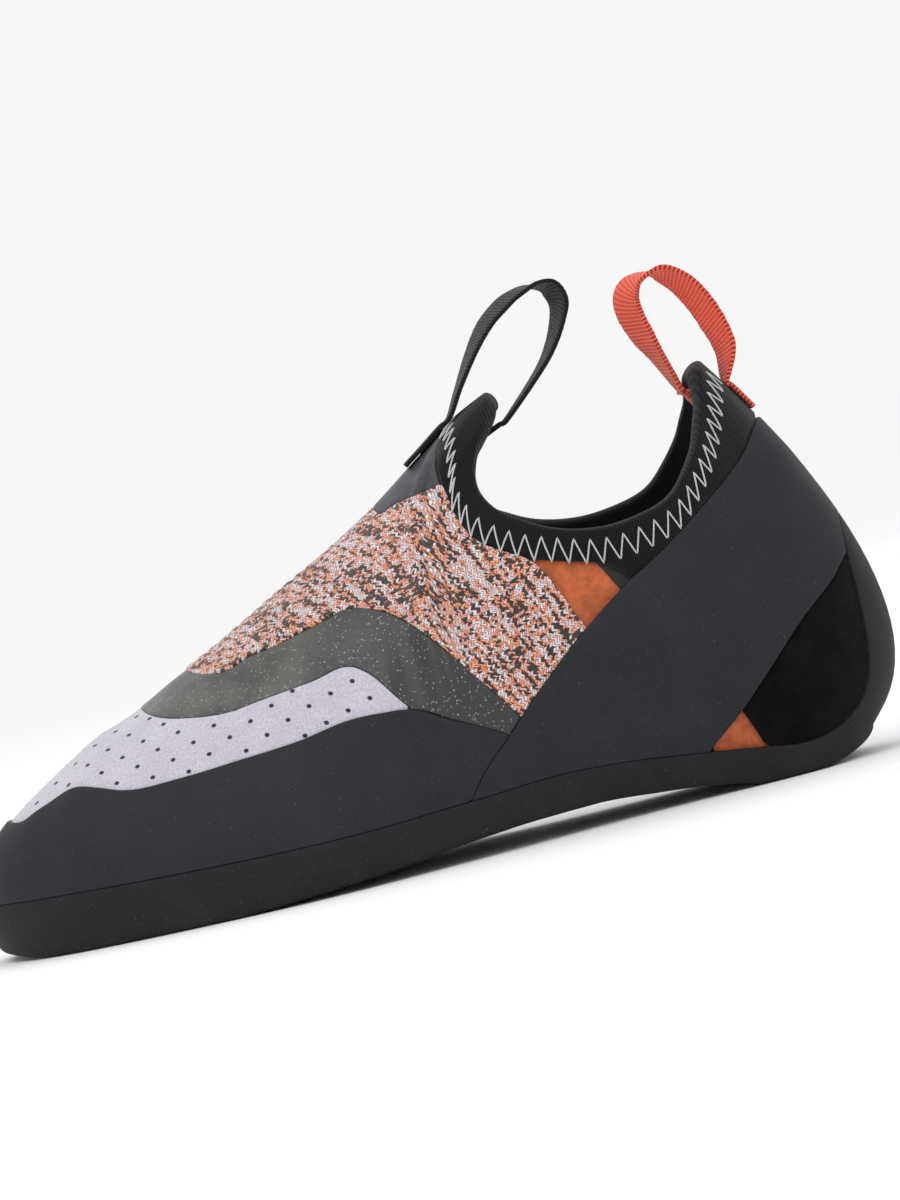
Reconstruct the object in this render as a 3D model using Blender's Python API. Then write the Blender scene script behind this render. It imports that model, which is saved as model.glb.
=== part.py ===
"""A left slip-on climbing shoe, standing empty on its sole.

+X points to the heel, +Y to the big-toe (medial) side and +Z up. The origin lies on the floor,
under the middle of the heel's flat spot. The whole shoe hangs on one skin: ribs that climb from
the sole's bottom edge to the ridge of the instep or to the collar. A place on the skin has two
numbers. u runs round the shoe from the heel (-1) along the lateral side to the toe (0) and back
along the medial side to the heel (1), and v climbs a rib from the bottom edge (0) to its top (1).
"""
import math
from functools import lru_cache

import bmesh
import bpy
import numpy as np

# Driving sizes in metres
LENGTH = 0.245
BALL_WIDTH = 0.091
TAB_HEIGHT = 0.113
HEEL_REST = 0.853
TAB = 0.54

# Thicknesses and clearances in metres
GAP = 0.0003
SEAM_GAP = 0.0005
LAYER_GAP = 0.0007
LINING_GAP = 0.0005
TREAD = 0.004
EDGE_ROUND = 0.0015
RUBBER = 0.0016
FILM_PROUD = 0.0009
KNIT_PROUD = 0.0011
PANEL_PROUD = 0.0008
PATCH_PROUD = 0.0011
SUEDE_PROUD = 0.0008
UPPER_WALL = 0.0018
BINDING = 0.0012
BINDING_PROUD = 0.0013
BINDING_LEG = 0.007
INSOLE = 0.002
WEBBING_WIDTH = 0.010
WEBBING = 0.0012
TAB_HOLLOW = 0.0024

# How finely the skin is divided
STATIONS_A_SIDE = 38
STATION_CLEAR = 0.007
TAB_STEPS = (0.007, 0.014, 0.023)
STEEP_BORDERS = (0.253, 0.92)
ROW_COUNT = 12
ROW_CLEAR = 0.015
SAMPLES = 56
RUNG_PARTS = 4
LOOP_STEPS = 3
NORMAL_PLACE = 0.010
NORMAL_CLIMB = 0.020

# Plan outline over the widest line, in hundredths: place round the shoe, distance from the toe
# over LENGTH, and the lateral and medial edges over BALL_WIDTH
OUTLINE = (
    (0.0, 0.0, 14.3, 14.3),
    (3.0, 0.4, 4.4, 23.6),
    (7.0, 2.2, -6.6, 31.9),
    (11.5, 5.7, -18.1, 38.5),
    (16.5, 10.2, -28.0, 43.4),
    (22.0, 15.9, -36.8, 46.7),
    (28.0, 22.5, -44.5, 48.4),
    (34.5, 29.8, -51.1, 48.4),
    (41.4, 38.0, -54.4, 45.6),
    (48.3, 46.1, -52.7, 40.1),
    (55.0, 53.9, -48.9, 34.1),
    (61.0, 60.8, -44.0, 30.2),
    (67.5, 68.2, -39.0, 29.1),
    (73.8, 75.5, -36.3, 30.2),
    (79.7, 82.5, -35.2, 31.3),
    (85.0, 88.6, -33.0, 30.2),
    (89.3, 93.5, -27.5, 25.8),
    (93.4, 97.1, -19.2, 18.1),
    (96.9, 99.3, -9.9, 9.6),
    (100.0, 100.0, 0.0, 0.0),
)

# Ridge of the toe box and instep, in hundredths: place, distance from the toe over LENGTH,
# offset to the medial side over BALL_WIDTH, height over TAB_HEIGHT
RIDGE = (
    (0.0, 11.8, 9.9, 40.0),
    (7.0, 12.7, 9.9, 41.1),
    (11.5, 14.1, 9.3, 42.8),
    (16.5, 16.3, 8.8, 45.3),
    (22.0, 20.0, 7.7, 48.0),
    (28.0, 25.3, 6.0, 53.5),
    (34.0, 31.4, 4.4, 59.6),
    (39.5, 38.0, 2.7, 67.0),
    (44.0, 44.5, 1.6, 74.1),
    (47.5, 50.2, 1.1, 81.2),
    (50.5, 55.9, 0.5, 89.6),
    (52.5, 60.4, 0.0, 96.0),
    (54.0, 64.5, 0.0, 100.0),
)

# Collar line from the front tab's tip to the rear tab's, in hundredths: place, distance from the
# toe over LENGTH, then half-width over BALL_WIDTH and height over TAB_HEIGHT, lateral and medial
COLLAR = (
    (54.0, 64.5, 0.0, 100.0, 0.0, 100.0),
    (54.8, 64.2, 7.5, 98.5, 7.5, 98.5),
    (55.9, 63.2, 13.9, 93.9, 13.9, 94.0),
    (57.5, 61.4, 18.1, 87.3, 17.6, 88.0),
    (59.5, 60.6, 22.0, 80.5, 20.9, 81.5),
    (61.7, 61.6, 25.8, 74.8, 24.2, 76.4),
    (64.5, 64.7, 30.2, 69.5, 28.0, 71.5),
    (68.0, 68.2, 33.0, 65.9, 30.8, 68.3),
    (71.2, 71.9, 34.6, 64.4, 31.9, 67.0),
    (74.3, 75.5, 34.0, 65.0, 31.3, 67.6),
    (77.8, 79.1, 31.9, 67.4, 29.7, 70.0),
    (81.2, 81.6, 28.6, 72.4, 26.9, 75.0),
    (84.8, 83.7, 23.6, 78.8, 22.5, 81.0),
    (88.5, 84.9, 18.1, 85.0, 17.6, 86.5),
    (92.5, 85.6, 13.4, 90.7, 13.3, 91.4),
    (96.5, 86.1, 8.0, 94.3, 7.9, 94.6),
    (100.0, 86.5, 0.0, 95.8, 0.0, 95.8),
)

# Shape of the ribs: place in hundredths, tuck of the bottom edge and push of the belly in
# hundredths of BALL_WIDTH, rise of the belly and reach of the crown in hundredths of the rib,
# then heading and lift of the rib's end in degrees
RIBS = (
    (0.0, 2.7, 5.5, 50.0, 44.0, 90.0, 0.0),
    (7.0, 2.5, 5.5, 50.0, 44.0, 50.0, 0.0),
    (16.5, 2.0, 5.5, 45.0, 40.0, 28.0, 0.0),
    (28.0, 1.8, 6.0, 38.0, 33.0, 18.0, 0.0),
    (40.0, 1.8, 6.6, 30.0, 28.0, 14.0, 0.0),
    (47.5, 1.8, 6.5, 28.0, 23.0, 25.0, 6.0),
    (50.8, 1.8, 0.0, 36.0, 30.0, 48.5, 0.0),
    (54.0, 1.8, 7.4, 42.0, 37.0, 72.0, -2.0),
    (56.7, 1.8, 7.1, 31.0, 28.0, 79.0, 12.0),
    (59.5, 1.8, 6.5, 38.0, 22.0, 68.0, 26.0),
    (61.8, 1.9, 3.4, 35.5, 27.0, 55.0, 38.0),
    (64.5, 2.0, 3.3, 25.0, 28.0, 50.0, 55.0),
    (71.2, 2.2, 3.3, 33.0, 30.0, 8.0, 82.0),
    (77.8, 2.4, 4.4, 33.0, 32.0, -15.0, 80.0),
    (84.8, 3.3, 6.6, 28.0, 36.0, -45.0, 70.0),
    (92.5, 8.8, 11.0, 20.0, 42.0, -75.0, 58.0),
    (97.5, 12.2, 13.0, 17.0, 43.6, -85.0, 55.0),
    (100.0, 12.4, 13.2, 16.5, 44.0, -90.0, 54.6),
)

# Underside in side view, in hundredths: distance from the toe over LENGTH, height over TAB_HEIGHT
UNDERSIDE = (
    (0.0, 4.0), (1.0, 2.7), (3.3, 1.1), (5.3, 0.3), (7.0, 0.0), (25.3, 0.0), (32.7, 0.8),
    (41.2, 2.1), (49.8, 3.8), (58.4, 4.9), (64.1, 5.0), (71.0, 3.8), (76.3, 2.5), (79.6, 1.1),
    (82.0, 0.0), (88.6, 0.0), (90.6, 0.9), (92.7, 2.2), (94.7, 4.1), (96.7, 7.3),
)

# Edges of the pieces in side view, toe to heel, in hundredths of LENGTH and TAB_HEIGHT
SOLE_TOP = (
    (-2.0, 13.7), (10.4, 13.1), (23.8, 12.3), (40.7, 12.0), (51.8, 12.7), (62.0, 13.3),
    (67.5, 12.5), (72.9, 11.0), (82.6, 7.9), (86.8, 6.6), (90.3, 7.8), (93.1, 11.1),
    (95.2, 17.7), (95.8, 24.0), (96.1, 34.0), (96.2, 44.0), (96.4, 50.0), (96.8, 53.4), (104.0, 54.4),
)
RAND_TOP = (
    (-2.0, 30.0), (4.1, 31.4), (6.5, 30.6), (9.5, 33.0), (13.3, 35.6), (15.3, 34.5),
    (17.7, 32.8), (23.8, 32.6), (29.9, 33.5), (36.4, 34.6), (42.1, 36.4), (44.9, 36.2),
    (48.2, 35.3), (51.4, 31.5), (56.6, 25.4), (58.4, 22.1), (64.0, 8.0), (66.0, -6.0),
)
BAND_FRONT = (
    (47.0, -6.0), (50.2, 9.3), (51.7, 12.7), (53.4, 17.4), (57.1, 24.5), (61.6, 33.0),
    (67.6, 43.4), (72.8, 50.9), (75.1, 53.5), (82.5, 63.5), (87.8, 71.8), (91.0, 79.0),
    (104.0, 79.0),
)
BAND_REAR = (
    (73.0, -6.0), (75.5, 5.3), (77.1, 10.4), (78.8, 13.3), (81.5, 18.0), (84.4, 23.8),
    (89.6, 33.9), (94.1, 41.0), (96.1, 45.0), (104.0, 48.0),
)
SUEDE_FRONT = ((77.0, 36.0), (78.8, 29.0), (81.0, 17.2), (82.6, 8.0), (83.3, 2.7), (83.7, -6.0))
PANEL_TOP = (
    (20.0, 66.0), (21.7, 48.2), (27.0, 44.8), (30.0, 44.4), (33.4, 45.3), (39.1, 46.7),
    (43.4, 47.7), (44.6, 45.9), (46.7, 40.0), (48.2, 35.5), (51.0, 24.8), (53.0, -6.0),
)
OVERLAY_TOP = (
    (24.5, 72.0), (26.8, 55.0), (31.0, 53.2), (33.4, 55.0), (35.7, 55.8), (41.0, 58.4),
    (44.8, 60.1), (46.1, 59.4), (48.6, 56.7), (50.8, 51.7), (53.0, 46.3), (55.1, 39.8),
    (57.1, 33.5), (58.7, 28.2), (61.2, 19.5), (64.0, -6.0),
)
KNIT_TOP = (
    (47.6, 96.0), (49.6, 81.2), (50.1, 78.9), (51.8, 80.1), (55.4, 81.4), (56.7, 82.0),
    (57.5, 74.5), (58.5, 69.1), (60.7, 64.9), (62.9, 62.2), (67.5, 43.4), (70.6, 31.0),
    (74.0, -6.0),
)
PATCH_LOW = (
    (47.6, 96.0), (49.6, 81.2), (50.1, 78.9), (51.8, 80.1), (55.4, 81.4), (56.7, 82.0),
    (70.0, 82.5), (104.0, 83.0),
)
BINDING_LOW = (
    (61.6, 112.0), (59.4, 95.4), (58.2, 92.0), (57.0, 87.6), (56.7, 82.0), (57.5, 74.5),
    (58.5, 69.1), (60.7, 64.9), (62.9, 61.9), (66.5, 59.1), (71.2, 55.5), (73.5, 51.3),
    (78.4, 44.0), (104.0, 40.0),
)

# Free runs of the webbing, from the outer tail round to the inner one, in hundredths of LENGTH and
# TAB_HEIGHT, and turn about the upright in degrees
FRONT_LOOP = (
    (61.5, 101.6, 4.0), (63.7, 108.8, 12.0), (65.6, 113.8, 20.0), (67.4, 116.9, 26.0),
    (69.2, 119.0, 30.0), (71.4, 120.1, 32.0), (73.1, 119.0, 32.0), (73.8, 115.4, 30.0),
    (73.2, 111.1, 26.0), (71.9, 106.0, 18.0), (70.0, 101.0, 8.0),
)
REAR_LOOP = (
    (89.6, 96.1, 4.0), (89.0, 102.5, 12.0), (87.9, 108.6, 20.0), (86.4, 113.5, 26.0),
    (84.3, 116.6, 30.0), (82.0, 115.9, 30.0), (80.8, 112.8, 28.0), (80.8, 108.4, 24.0),
    (81.6, 102.7, 14.0), (82.6, 97.4, 4.0),
)

# Sewn tails of the webbing: place and climb on the skin in hundredths
FRONT_TAIL_OUTSIDE = ((49.7, 100.0), (51.0, 100.0), (52.3, 100.0))
FRONT_TAIL_INSIDE = ((53.9, 100.0), (52.9, 100.0), (51.9, 100.0))
REAR_TAIL_OUTSIDE = ((100.0, 86.0), (100.0, 89.5), (100.0, 93.0))
REAR_TAIL_INSIDE = ((100.0, 98.5), (100.0, 95.0), (100.0, 91.5))

# Colours in linear RGB, roughness
BLACK_RUBBER = (0.028, 0.030, 0.036, 0.62)
RAND_RUBBER = (0.034, 0.036, 0.042, 0.60)
ORANGE_MICROFIBRE = (0.58, 0.12, 0.03, 0.75)
GREY_MICROFIBRE = (0.56, 0.54, 0.60, 0.80)
DARK_FILM = (0.07, 0.07, 0.07, 0.35)
CORAL_KNIT = (0.72, 0.32, 0.20, 0.90)
SMOOTH_PATCH = (0.05, 0.05, 0.06, 0.55)
BLACK_SUEDE = (0.006, 0.006, 0.006, 0.95)
BLACK_BINDING = (0.010, 0.010, 0.010, 0.85)
BLACK_WEBBING = (0.012, 0.012, 0.012, 0.80)
CORAL_WEBBING = (0.80, 0.12, 0.06, 0.75)
GREY_FOAM = (0.10, 0.10, 0.11, 0.90)


def clear_scene():
    """Remove every object that the scene starts with."""
    for item in list(bpy.data.objects):
        bpy.data.objects.remove(item, do_unlink=True)


def curve_point(knots, values, place, period=0.0):
    """Read a smooth curve through its knots; a period closes it on itself."""
    if period:
        knots = np.concatenate((knots[-3:] - period, knots, knots[:3] + period))
        values = np.concatenate((values[-3:], values, values[:3]))
    tangents = np.gradient(values, knots, axis=0)
    i = int(np.clip(np.searchsorted(knots, place, side="right") - 1, 0, len(knots) - 2))
    width = knots[i + 1] - knots[i]
    t = (place - knots[i]) / width
    start = (1.0 + 2.0 * t) * (1.0 - t) ** 2
    leave = t * (1.0 - t) ** 2 * width
    end = t * t * (3.0 - 2.0 * t)
    arrive = t * t * (t - 1.0) * width
    return start * values[i] + leave * tangents[i] + end * values[i + 1] + arrive * tangents[i + 1]


def shares(rows):
    """Turn rows of hundredths into shares."""
    return np.array(rows, dtype=float) / 100.0


def outline_loop():
    """The closed plan outline: its places u and its points in metres."""
    rows = shares(OUTLINE)
    along = rows[:, 1] * LENGTH
    lateral = np.column_stack((along, rows[:, 2] * BALL_WIDTH))
    medial = np.column_stack((along, rows[:, 3] * BALL_WIDTH))
    places = np.concatenate((-rows[:0:-1, 0], rows[:-1, 0]))
    return places, np.concatenate((lateral[:0:-1], medial[:-1]))


def collar_loop():
    """The closed collar line: places run 54..100 laterally and on to 146 medially."""
    rows = shares(COLLAR)
    along = rows[:, 1] * LENGTH
    lateral = np.column_stack((along, -rows[:, 2] * BALL_WIDTH, rows[:, 3] * TAB_HEIGHT))
    medial = np.column_stack((along, rows[:, 4] * BALL_WIDTH, rows[:, 5] * TAB_HEIGHT))
    places = np.concatenate((rows[:, 0], 2.0 - rows[-2:0:-1, 0]))
    return places, np.concatenate((lateral, medial[-2:0:-1]))


def ridge_line():
    """The ridge: its places and its points in metres."""
    rows = shares(RIDGE)
    points = rows[:, 1:] * np.array((LENGTH, BALL_WIDTH, TAB_HEIGHT))
    return rows[:, 0], points


OUTLINE_LOOP = outline_loop()
COLLAR_LOOP = collar_loop()
RIDGE_LINE = ridge_line()
RIB_ROWS = np.array(RIBS) / np.array((100.0, 100.0, 100.0, 100.0, 100.0, 1.0, 1.0))
UNDERSIDE_ROWS = shares(UNDERSIDE) * np.array((LENGTH, TAB_HEIGHT))
TINY = 1e-4


def underside(along):
    """Height of the sole's underside at a distance from the toe."""
    return float(np.interp(along, UNDERSIDE_ROWS[:, 0], UNDERSIDE_ROWS[:, 1]))


def outline_point(u):
    """Plan point of the outline at u."""
    return curve_point(*OUTLINE_LOOP, u, period=2.0)


def outward(u):
    """Plan direction that points away from the shoe at u."""
    step = outline_point(u + TINY) - outline_point(u - TINY)
    normal = np.array((-step[1], step[0]))
    return normal / np.linalg.norm(normal)


def ridge_slope(place):
    """Rise of the ridge over its run."""
    ends = [curve_point(*RIDGE_LINE, p) for p in (place - 0.01, place)]
    step = ends[1] - ends[0]
    return step[2] / step[0]


def top_point(u):
    """Upper end of the rib at u, on the ridge or on the collar line."""
    place = abs(u)
    if place <= TAB:
        return curve_point(*RIDGE_LINE, place)
    return curve_point(*COLLAR_LOOP, 2.0 - place if u > 0 else place, period=2.0 * (1.0 - TAB))


@lru_cache(maxsize=None)
def rib(u):
    """The four control points of the rib at u."""
    place = abs(u)
    side = 1.0 if u > 0 else -1.0
    tuck, belly, rise, crown, heading, lift = curve_point(RIB_ROWS[:, 0], RIB_ROWS[:, 1:], place)
    edge = outline_point(u)
    out = outward(u)
    top = top_point(u)
    foot_plan = edge - out * tuck * BALL_WIDTH
    foot = np.array((*foot_plan, underside(foot_plan[0]) + EDGE_ROUND))
    belly_plan = edge + out * belly * BALL_WIDTH
    belly_point = np.array((*belly_plan, foot[2] + rise * (top[2] - foot[2])))
    heading = math.radians(heading)
    lift = math.radians(lift)
    fade = float(np.clip(1.0 - (place - TAB) / 0.12, 0.0, 1.0))
    slope = ridge_slope(np.clip(place, 0.03, TAB)) * fade
    across = np.array((math.sin(heading), -side * math.cos(heading)))
    end = np.array((*(math.cos(lift) * across), math.sin(lift) + math.cos(lift) * across[0] * slope))
    end /= np.linalg.norm(end)
    crown_point = top - end * crown * np.linalg.norm(top - foot)
    return np.array((foot, belly_point, crown_point, top))


def skin(u, v):
    """Points of the skin at u, for one v or for an array of them."""
    v = np.asarray(v, dtype=float)[..., None]
    foot, belly, crown, top = rib(u)
    near = (1.0 - v) ** 3 * foot + 3.0 * (1.0 - v) ** 2 * v * belly
    return near + 3.0 * (1.0 - v) * v * v * crown + v ** 3 * top


def skin_normal(u, v):
    """Direction that points out of the skin at one place."""
    if v > 1.0 - TINY and abs(u) <= TAB:
        slope = ridge_slope(max(abs(u), 0.03))
        normal = np.array((-slope, 0.0, 1.0))
        return normal / np.linalg.norm(normal)
    low, high = max(v - NORMAL_CLIMB, 0.0), min(v + NORMAL_CLIMB, 1.0)
    climb = skin(u, high) - skin(u, low)
    ahead = min(u + NORMAL_PLACE, 1.0)
    behind = max(u - NORMAL_PLACE, -1.0)
    round_the_shoe = skin(ahead, v) - skin(behind, v)
    normal = np.cross(climb, round_the_shoe)
    return normal / np.linalg.norm(normal)


def under_skin(u, v, depth):
    """Point that lies a depth below the skin."""
    return skin(u, v) - skin_normal(u, v) * depth


def facet_point(u, v, depth):
    """Point at a depth on the straight line between the shared rows below and above v."""
    low = math.floor(v * ROW_COUNT) / ROW_COUNT
    high = min(low + 1.0 / ROW_COUNT, 1.0)
    if high - low < TINY:
        return under_skin(u, v, depth)
    share = (v - low) / (high - low)
    return (1.0 - share) * under_skin(u, low, depth) + share * under_skin(u, high, depth)


def origin_shift(points):
    """Move points so that the middle of the heel's flat spot is the origin."""
    return np.asarray(points) - np.array((HEEL_REST * LENGTH, 0.0, 0.0))


def line_climb(line, place):
    """How far up the lateral rib at a place a line of the side view crosses it, 0 to 1."""
    path = skin(-place, np.linspace(0.0, 1.0, SAMPLES))[:, [0, 2]]
    run = path[1:] - path[:-1]
    step = line[1:] - line[:-1]
    apart = line[None, :-1] - path[:-1, None]
    cross = run[:, None, 0] * step[None, :, 1] - run[:, None, 1] * step[None, :, 0]
    cross = np.where(np.abs(cross) < 1e-15, 1e-15, cross)
    on_path = (apart[..., 0] * step[None, :, 1] - apart[..., 1] * step[None, :, 0]) / cross
    on_edge = (apart[..., 0] * run[:, None, 1] - apart[..., 1] * run[:, None, 0]) / cross
    hits = np.argwhere((on_path >= 0.0) & (on_path <= 1.0) & (on_edge >= 0.0) & (on_edge <= 1.0))
    if len(hits):
        i, j = hits[-1]
        return float((i + on_path[i, j]) / (SAMPLES - 1))
    top = path[-1]
    spans = np.sum(step * step, axis=1)
    along = np.clip(np.sum((top - line[:-1]) * step, axis=1) / spans, 0.0, 1.0)
    nearest = line[:-1] + along[:, None] * step
    k = int(np.argmin(np.sum((top - nearest) ** 2, axis=1)))
    offset = top - line[k]
    left = step[k, 0] * offset[1] - step[k, 1] * offset[0]
    return 0.0 if left > 0.0 else 1.0


@lru_cache(maxsize=None)
def shifted_line(rows, shift):
    """A side-view line in metres, moved to its left by a distance."""
    points = shares(rows) * np.array((LENGTH, TAB_HEIGHT))
    tangents = np.gradient(points, axis=0)
    lefts = np.column_stack((-tangents[:, 1], tangents[:, 0]))
    return points + shift * lefts / np.linalg.norm(lefts, axis=1)[:, None]


@lru_cache(maxsize=None)
def climb(rows, place, shift):
    """Where a named edge, moved by a shift, crosses the rib at a place."""
    return line_climb(shifted_line(rows, shift), place)


def above(*edges):
    """Lower border of a piece that lies above all the edges, half a seam clear of them."""
    return lambda place: max(climb(edge, place, 0.5 * SEAM_GAP) for edge in edges)


def below(*edges):
    """Upper border of a piece that lies below all the edges, half a seam clear of them."""
    return lambda place: min(climb(edge, place, -0.5 * SEAM_GAP) for edge in edges)


def ridge_crossing(edge):
    """The last place where a piece below an edge still reaches the ridge."""
    first, last = 0.0, TAB
    for _ in range(24):
        middle = 0.5 * (first + last)
        if climb(edge, middle, -0.5 * SEAM_GAP) < 1.0:
            last = middle
        else:
            first = middle
    return first


def station_places():
    """Places of the ribs, closer where a rib's foot, middle or top moves fast, tab tip included."""
    fine = np.linspace(0.0, 1.0, 401)
    grown = np.zeros(len(fine))
    for v in (0.0, 0.5, 1.0):
        points = np.array([skin(-place, v) for place in fine])
        grown[1:] += np.cumsum(np.linalg.norm(np.diff(points, axis=0), axis=1))
    even = np.interp(np.linspace(0.0, grown[-1], STATIONS_A_SIDE), grown, fine)
    crossings = [ridge_crossing(edge) for edge in (PANEL_TOP, OVERLAY_TOP, PATCH_LOW, BINDING_LOW)]
    fixed = [0.0, 1.0, TAB, *(TAB + step for step in TAB_STEPS), *STEEP_BORDERS, *crossings]
    clear = [place for place in even if min(abs(place - other) for other in fixed) > STATION_CLEAR]
    return [float(place) for place in sorted(clear + fixed)]


PLACES = station_places()
LAST = len(PLACES) - 1
ROWS = [row / ROW_COUNT for row in range(1, ROW_COUNT)]


def collar_back(place, distance):
    """The place and climb a distance back from the collar, along the ridge at the tab's tip."""
    if place == TAB:
        back = TAB
        tip = skin(-TAB, 1.0)
        while np.linalg.norm(skin(-back, 1.0) - tip) < distance:
            back -= 0.0001
        return back, 1.0
    speed = np.linalg.norm(skin(-place, 1.0) - skin(-place, 0.98)) / 0.02
    return place, 1.0 - distance / speed


def column(start, end):
    """Climbs of one column of points: its ends and the skin's shared rows between them."""
    inside = [v for v in ROWS if start + ROW_CLEAR < v < end - ROW_CLEAR]
    return [start, *inside, end]


def stitch(first, second, flip):
    """Triangles between two columns of (climb, key), row by row."""
    faces = []
    i = j = 0
    while i < len(first) - 1 or j < len(second) - 1:
        rise_first = first[i + 1][0] if i < len(first) - 1 else math.inf
        rise_second = second[j + 1][0] if j < len(second) - 1 else math.inf
        if rise_second < rise_first - TINY:
            face = [first[i][1], second[j][1], second[j + 1][1]]
            j += 1
        else:
            face = [first[i][1], second[j][1], first[i + 1][1]]
            i += 1
        if len(set(face)) == 3:
            faces.append(face[::-1] if flip else face)
    return faces


def joined(faces_of_sheet, near, far):
    """Close a sheet of triangles between its outer and inner points into a mesh's data."""
    index = {key: n for n, key in enumerate(near)}
    count = len(index)
    vertices = list(near.values()) + [far[key] for key in near]
    faces = []
    borders = {}
    for face in faces_of_sheet:
        ring = [index[key] for key in face]
        faces.append(ring)
        faces.append([n + count for n in reversed(ring)])
        for n, second in enumerate(ring):
            first = ring[n - 1]
            if (second, first) in borders:
                del borders[(second, first)]
            else:
                borders[(first, second)] = True
    for first, second in borders:
        faces.append([second, first, first + count, second + count])
    return vertices, faces


def make_material(name, finish):
    """A Principled material of one colour and roughness."""
    material = bpy.data.materials.new(name)
    material.use_nodes = True
    shader = material.node_tree.nodes["Principled BSDF"]
    shader.inputs["Base Color"].default_value = (*finish[:3], 1.0)
    shader.inputs["Roughness"].default_value = finish[3]
    shader.inputs["Metallic"].default_value = 0.0
    return material


def make_piece(name, vertices, faces, finish):
    """Add one closed piece to the scene."""
    mesh = bpy.data.meshes.new(name)
    mesh.from_pydata([tuple(point) for point in origin_shift(vertices)], [], faces)
    work = bmesh.new()
    work.from_mesh(mesh)
    bmesh.ops.remove_doubles(work, verts=work.verts, dist=1e-6)
    bmesh.ops.recalc_face_normals(work, faces=work.faces)
    work.to_mesh(mesh)
    work.free()
    mesh.shade_smooth()
    mesh.set_sharp_from_angle(angle=math.radians(38.0))
    mesh.materials.append(make_material(name, finish))
    item = bpy.data.objects.new(name, mesh)
    bpy.context.scene.collection.objects.link(item)
    return item


def key_side(side, place, v):
    """The side of a point, 0 where both sides share it."""
    shared = place in (0.0, 1.0) or (v > 1.0 - 1e-6 and place <= TAB)
    return 0 if shared else side


class Sheet:
    """Triangles over the skin with an outer and an inner point for each corner."""

    def __init__(self):
        self.near = {}
        self.far = {}
        self.faces = []

    def put(self, key, near, far):
        """Add a corner once and return its key."""
        if key not in self.near:
            self.near[key] = near
            self.far[key] = far
        return key

    def span(self, first, second, side):
        """Fill between two columns of one side."""
        self.faces += stitch(first, second, side > 0)

    def piece(self, name, finish):
        """Close the sheet and add it to the scene."""
        return make_piece(name, *joined(self.faces, self.near, self.far), finish)


def sheet_column(sheet, side, station, place, levels, outer, inner):
    """Corners of one column of an overlay."""
    corners = []
    for v in levels:
        v = min(v, 1.0)
        half = key_side(side, place, v)
        u = place * (half or 1)
        key = (half, station, round(v, 6))
        corners.append((v, sheet.put(key, under_skin(u, v, outer), under_skin(u, v, inner))))
    return corners


def make_panel(name, low, high, proud, finish, sides=(-1, 1)):
    """Add an overlay between two borders; where they meet it ends in a point."""
    sheet = Sheet()
    outer = RUBBER - proud
    borders = [(low(place), high(place)) for place in PLACES]
    for side in sides:
        columns = []
        for i, (place, (start, end)) in enumerate(zip(PLACES, borders)):
            is_open = end - start > 1e-6
            levels = column(start, end) if is_open else []
            columns.append(sheet_column(sheet, side, i, place, levels, outer, RUBBER))
        for i in range(LAST):
            first, second = columns[i], columns[i + 1]
            if not first and not second:
                continue
            if not first or not second:
                tip = meeting_place(low, high, PLACES[i], PLACES[i + 1], bool(first))
                levels = [0.5 * (low(tip) + high(tip))]
                end = sheet_column(sheet, side, i + 0.5, tip, levels, outer, RUBBER)
                first = first or end
                second = second or end
            sheet.span(first, second, side)
    return sheet.piece(name, finish)


def meeting_place(low, high, first, second, open_first):
    """The place between two stations where two borders meet."""
    for _ in range(24):
        middle = 0.5 * (first + second)
        is_open = high(middle) - low(middle) > 1e-6
        if is_open == open_first:
            first = middle
        else:
            second = middle
    return first if open_first else second


def loop_stations():
    """The ribs in order round the shoe, from the heel along the lateral side and back."""
    return [-place for place in reversed(PLACES)] + PLACES[1:-1]


def climb_to_height(u, depth, height):
    """How far up a rib a point below the skin reaches a height."""
    low, high = 0.0, 0.6
    for _ in range(30):
        middle = 0.5 * (low + high)
        if under_skin(u, middle, depth)[2] < height(under_skin(u, middle, depth)[0]):
            low = middle
        else:
            high = middle
    return high


def ladder(ring, height, vertices):
    """Fill a ring of the stations with rungs from side to side at a given height."""
    rungs = []
    for k in range(1, LAST):
        first, last = ring[LAST - k], ring[LAST + k]
        rung = [first]
        for c in range(1, RUNG_PARTS):
            point = vertices[first] + (vertices[last] - vertices[first]) * c / RUNG_PARTS
            rung.append(len(vertices))
            vertices.append(np.array((point[0], point[1], height(point[0]))))
        rungs.append(rung + [last])
    rungs = [[ring[LAST]] * (RUNG_PARTS + 1)] + rungs + [[ring[0]] * (RUNG_PARTS + 1)]
    faces = []
    for first, second in zip(rungs, rungs[1:]):
        for c in range(RUNG_PARTS):
            quad = [first[c], second[c], second[c + 1], first[c + 1]]
            faces.append([q for m, q in enumerate(quad) if q != quad[m - 1]])
    return faces


def floor_inside(along):
    """Height of the floor inside the sole."""
    return underside(along) + TREAD


def rounded_edge(u, share):
    """Point of the sole's rounded bottom edge: share 1 at the sidewall and 0 under the sole."""
    foot = skin(u, 0.0)
    turn = 0.5 * math.pi * share
    plan = foot[:2] - outward(u) * EDGE_ROUND * (1.0 - math.sin(turn))
    return np.array((*plan, underside(plan[0]) + EDGE_ROUND * (1.0 - math.cos(turn))))


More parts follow.
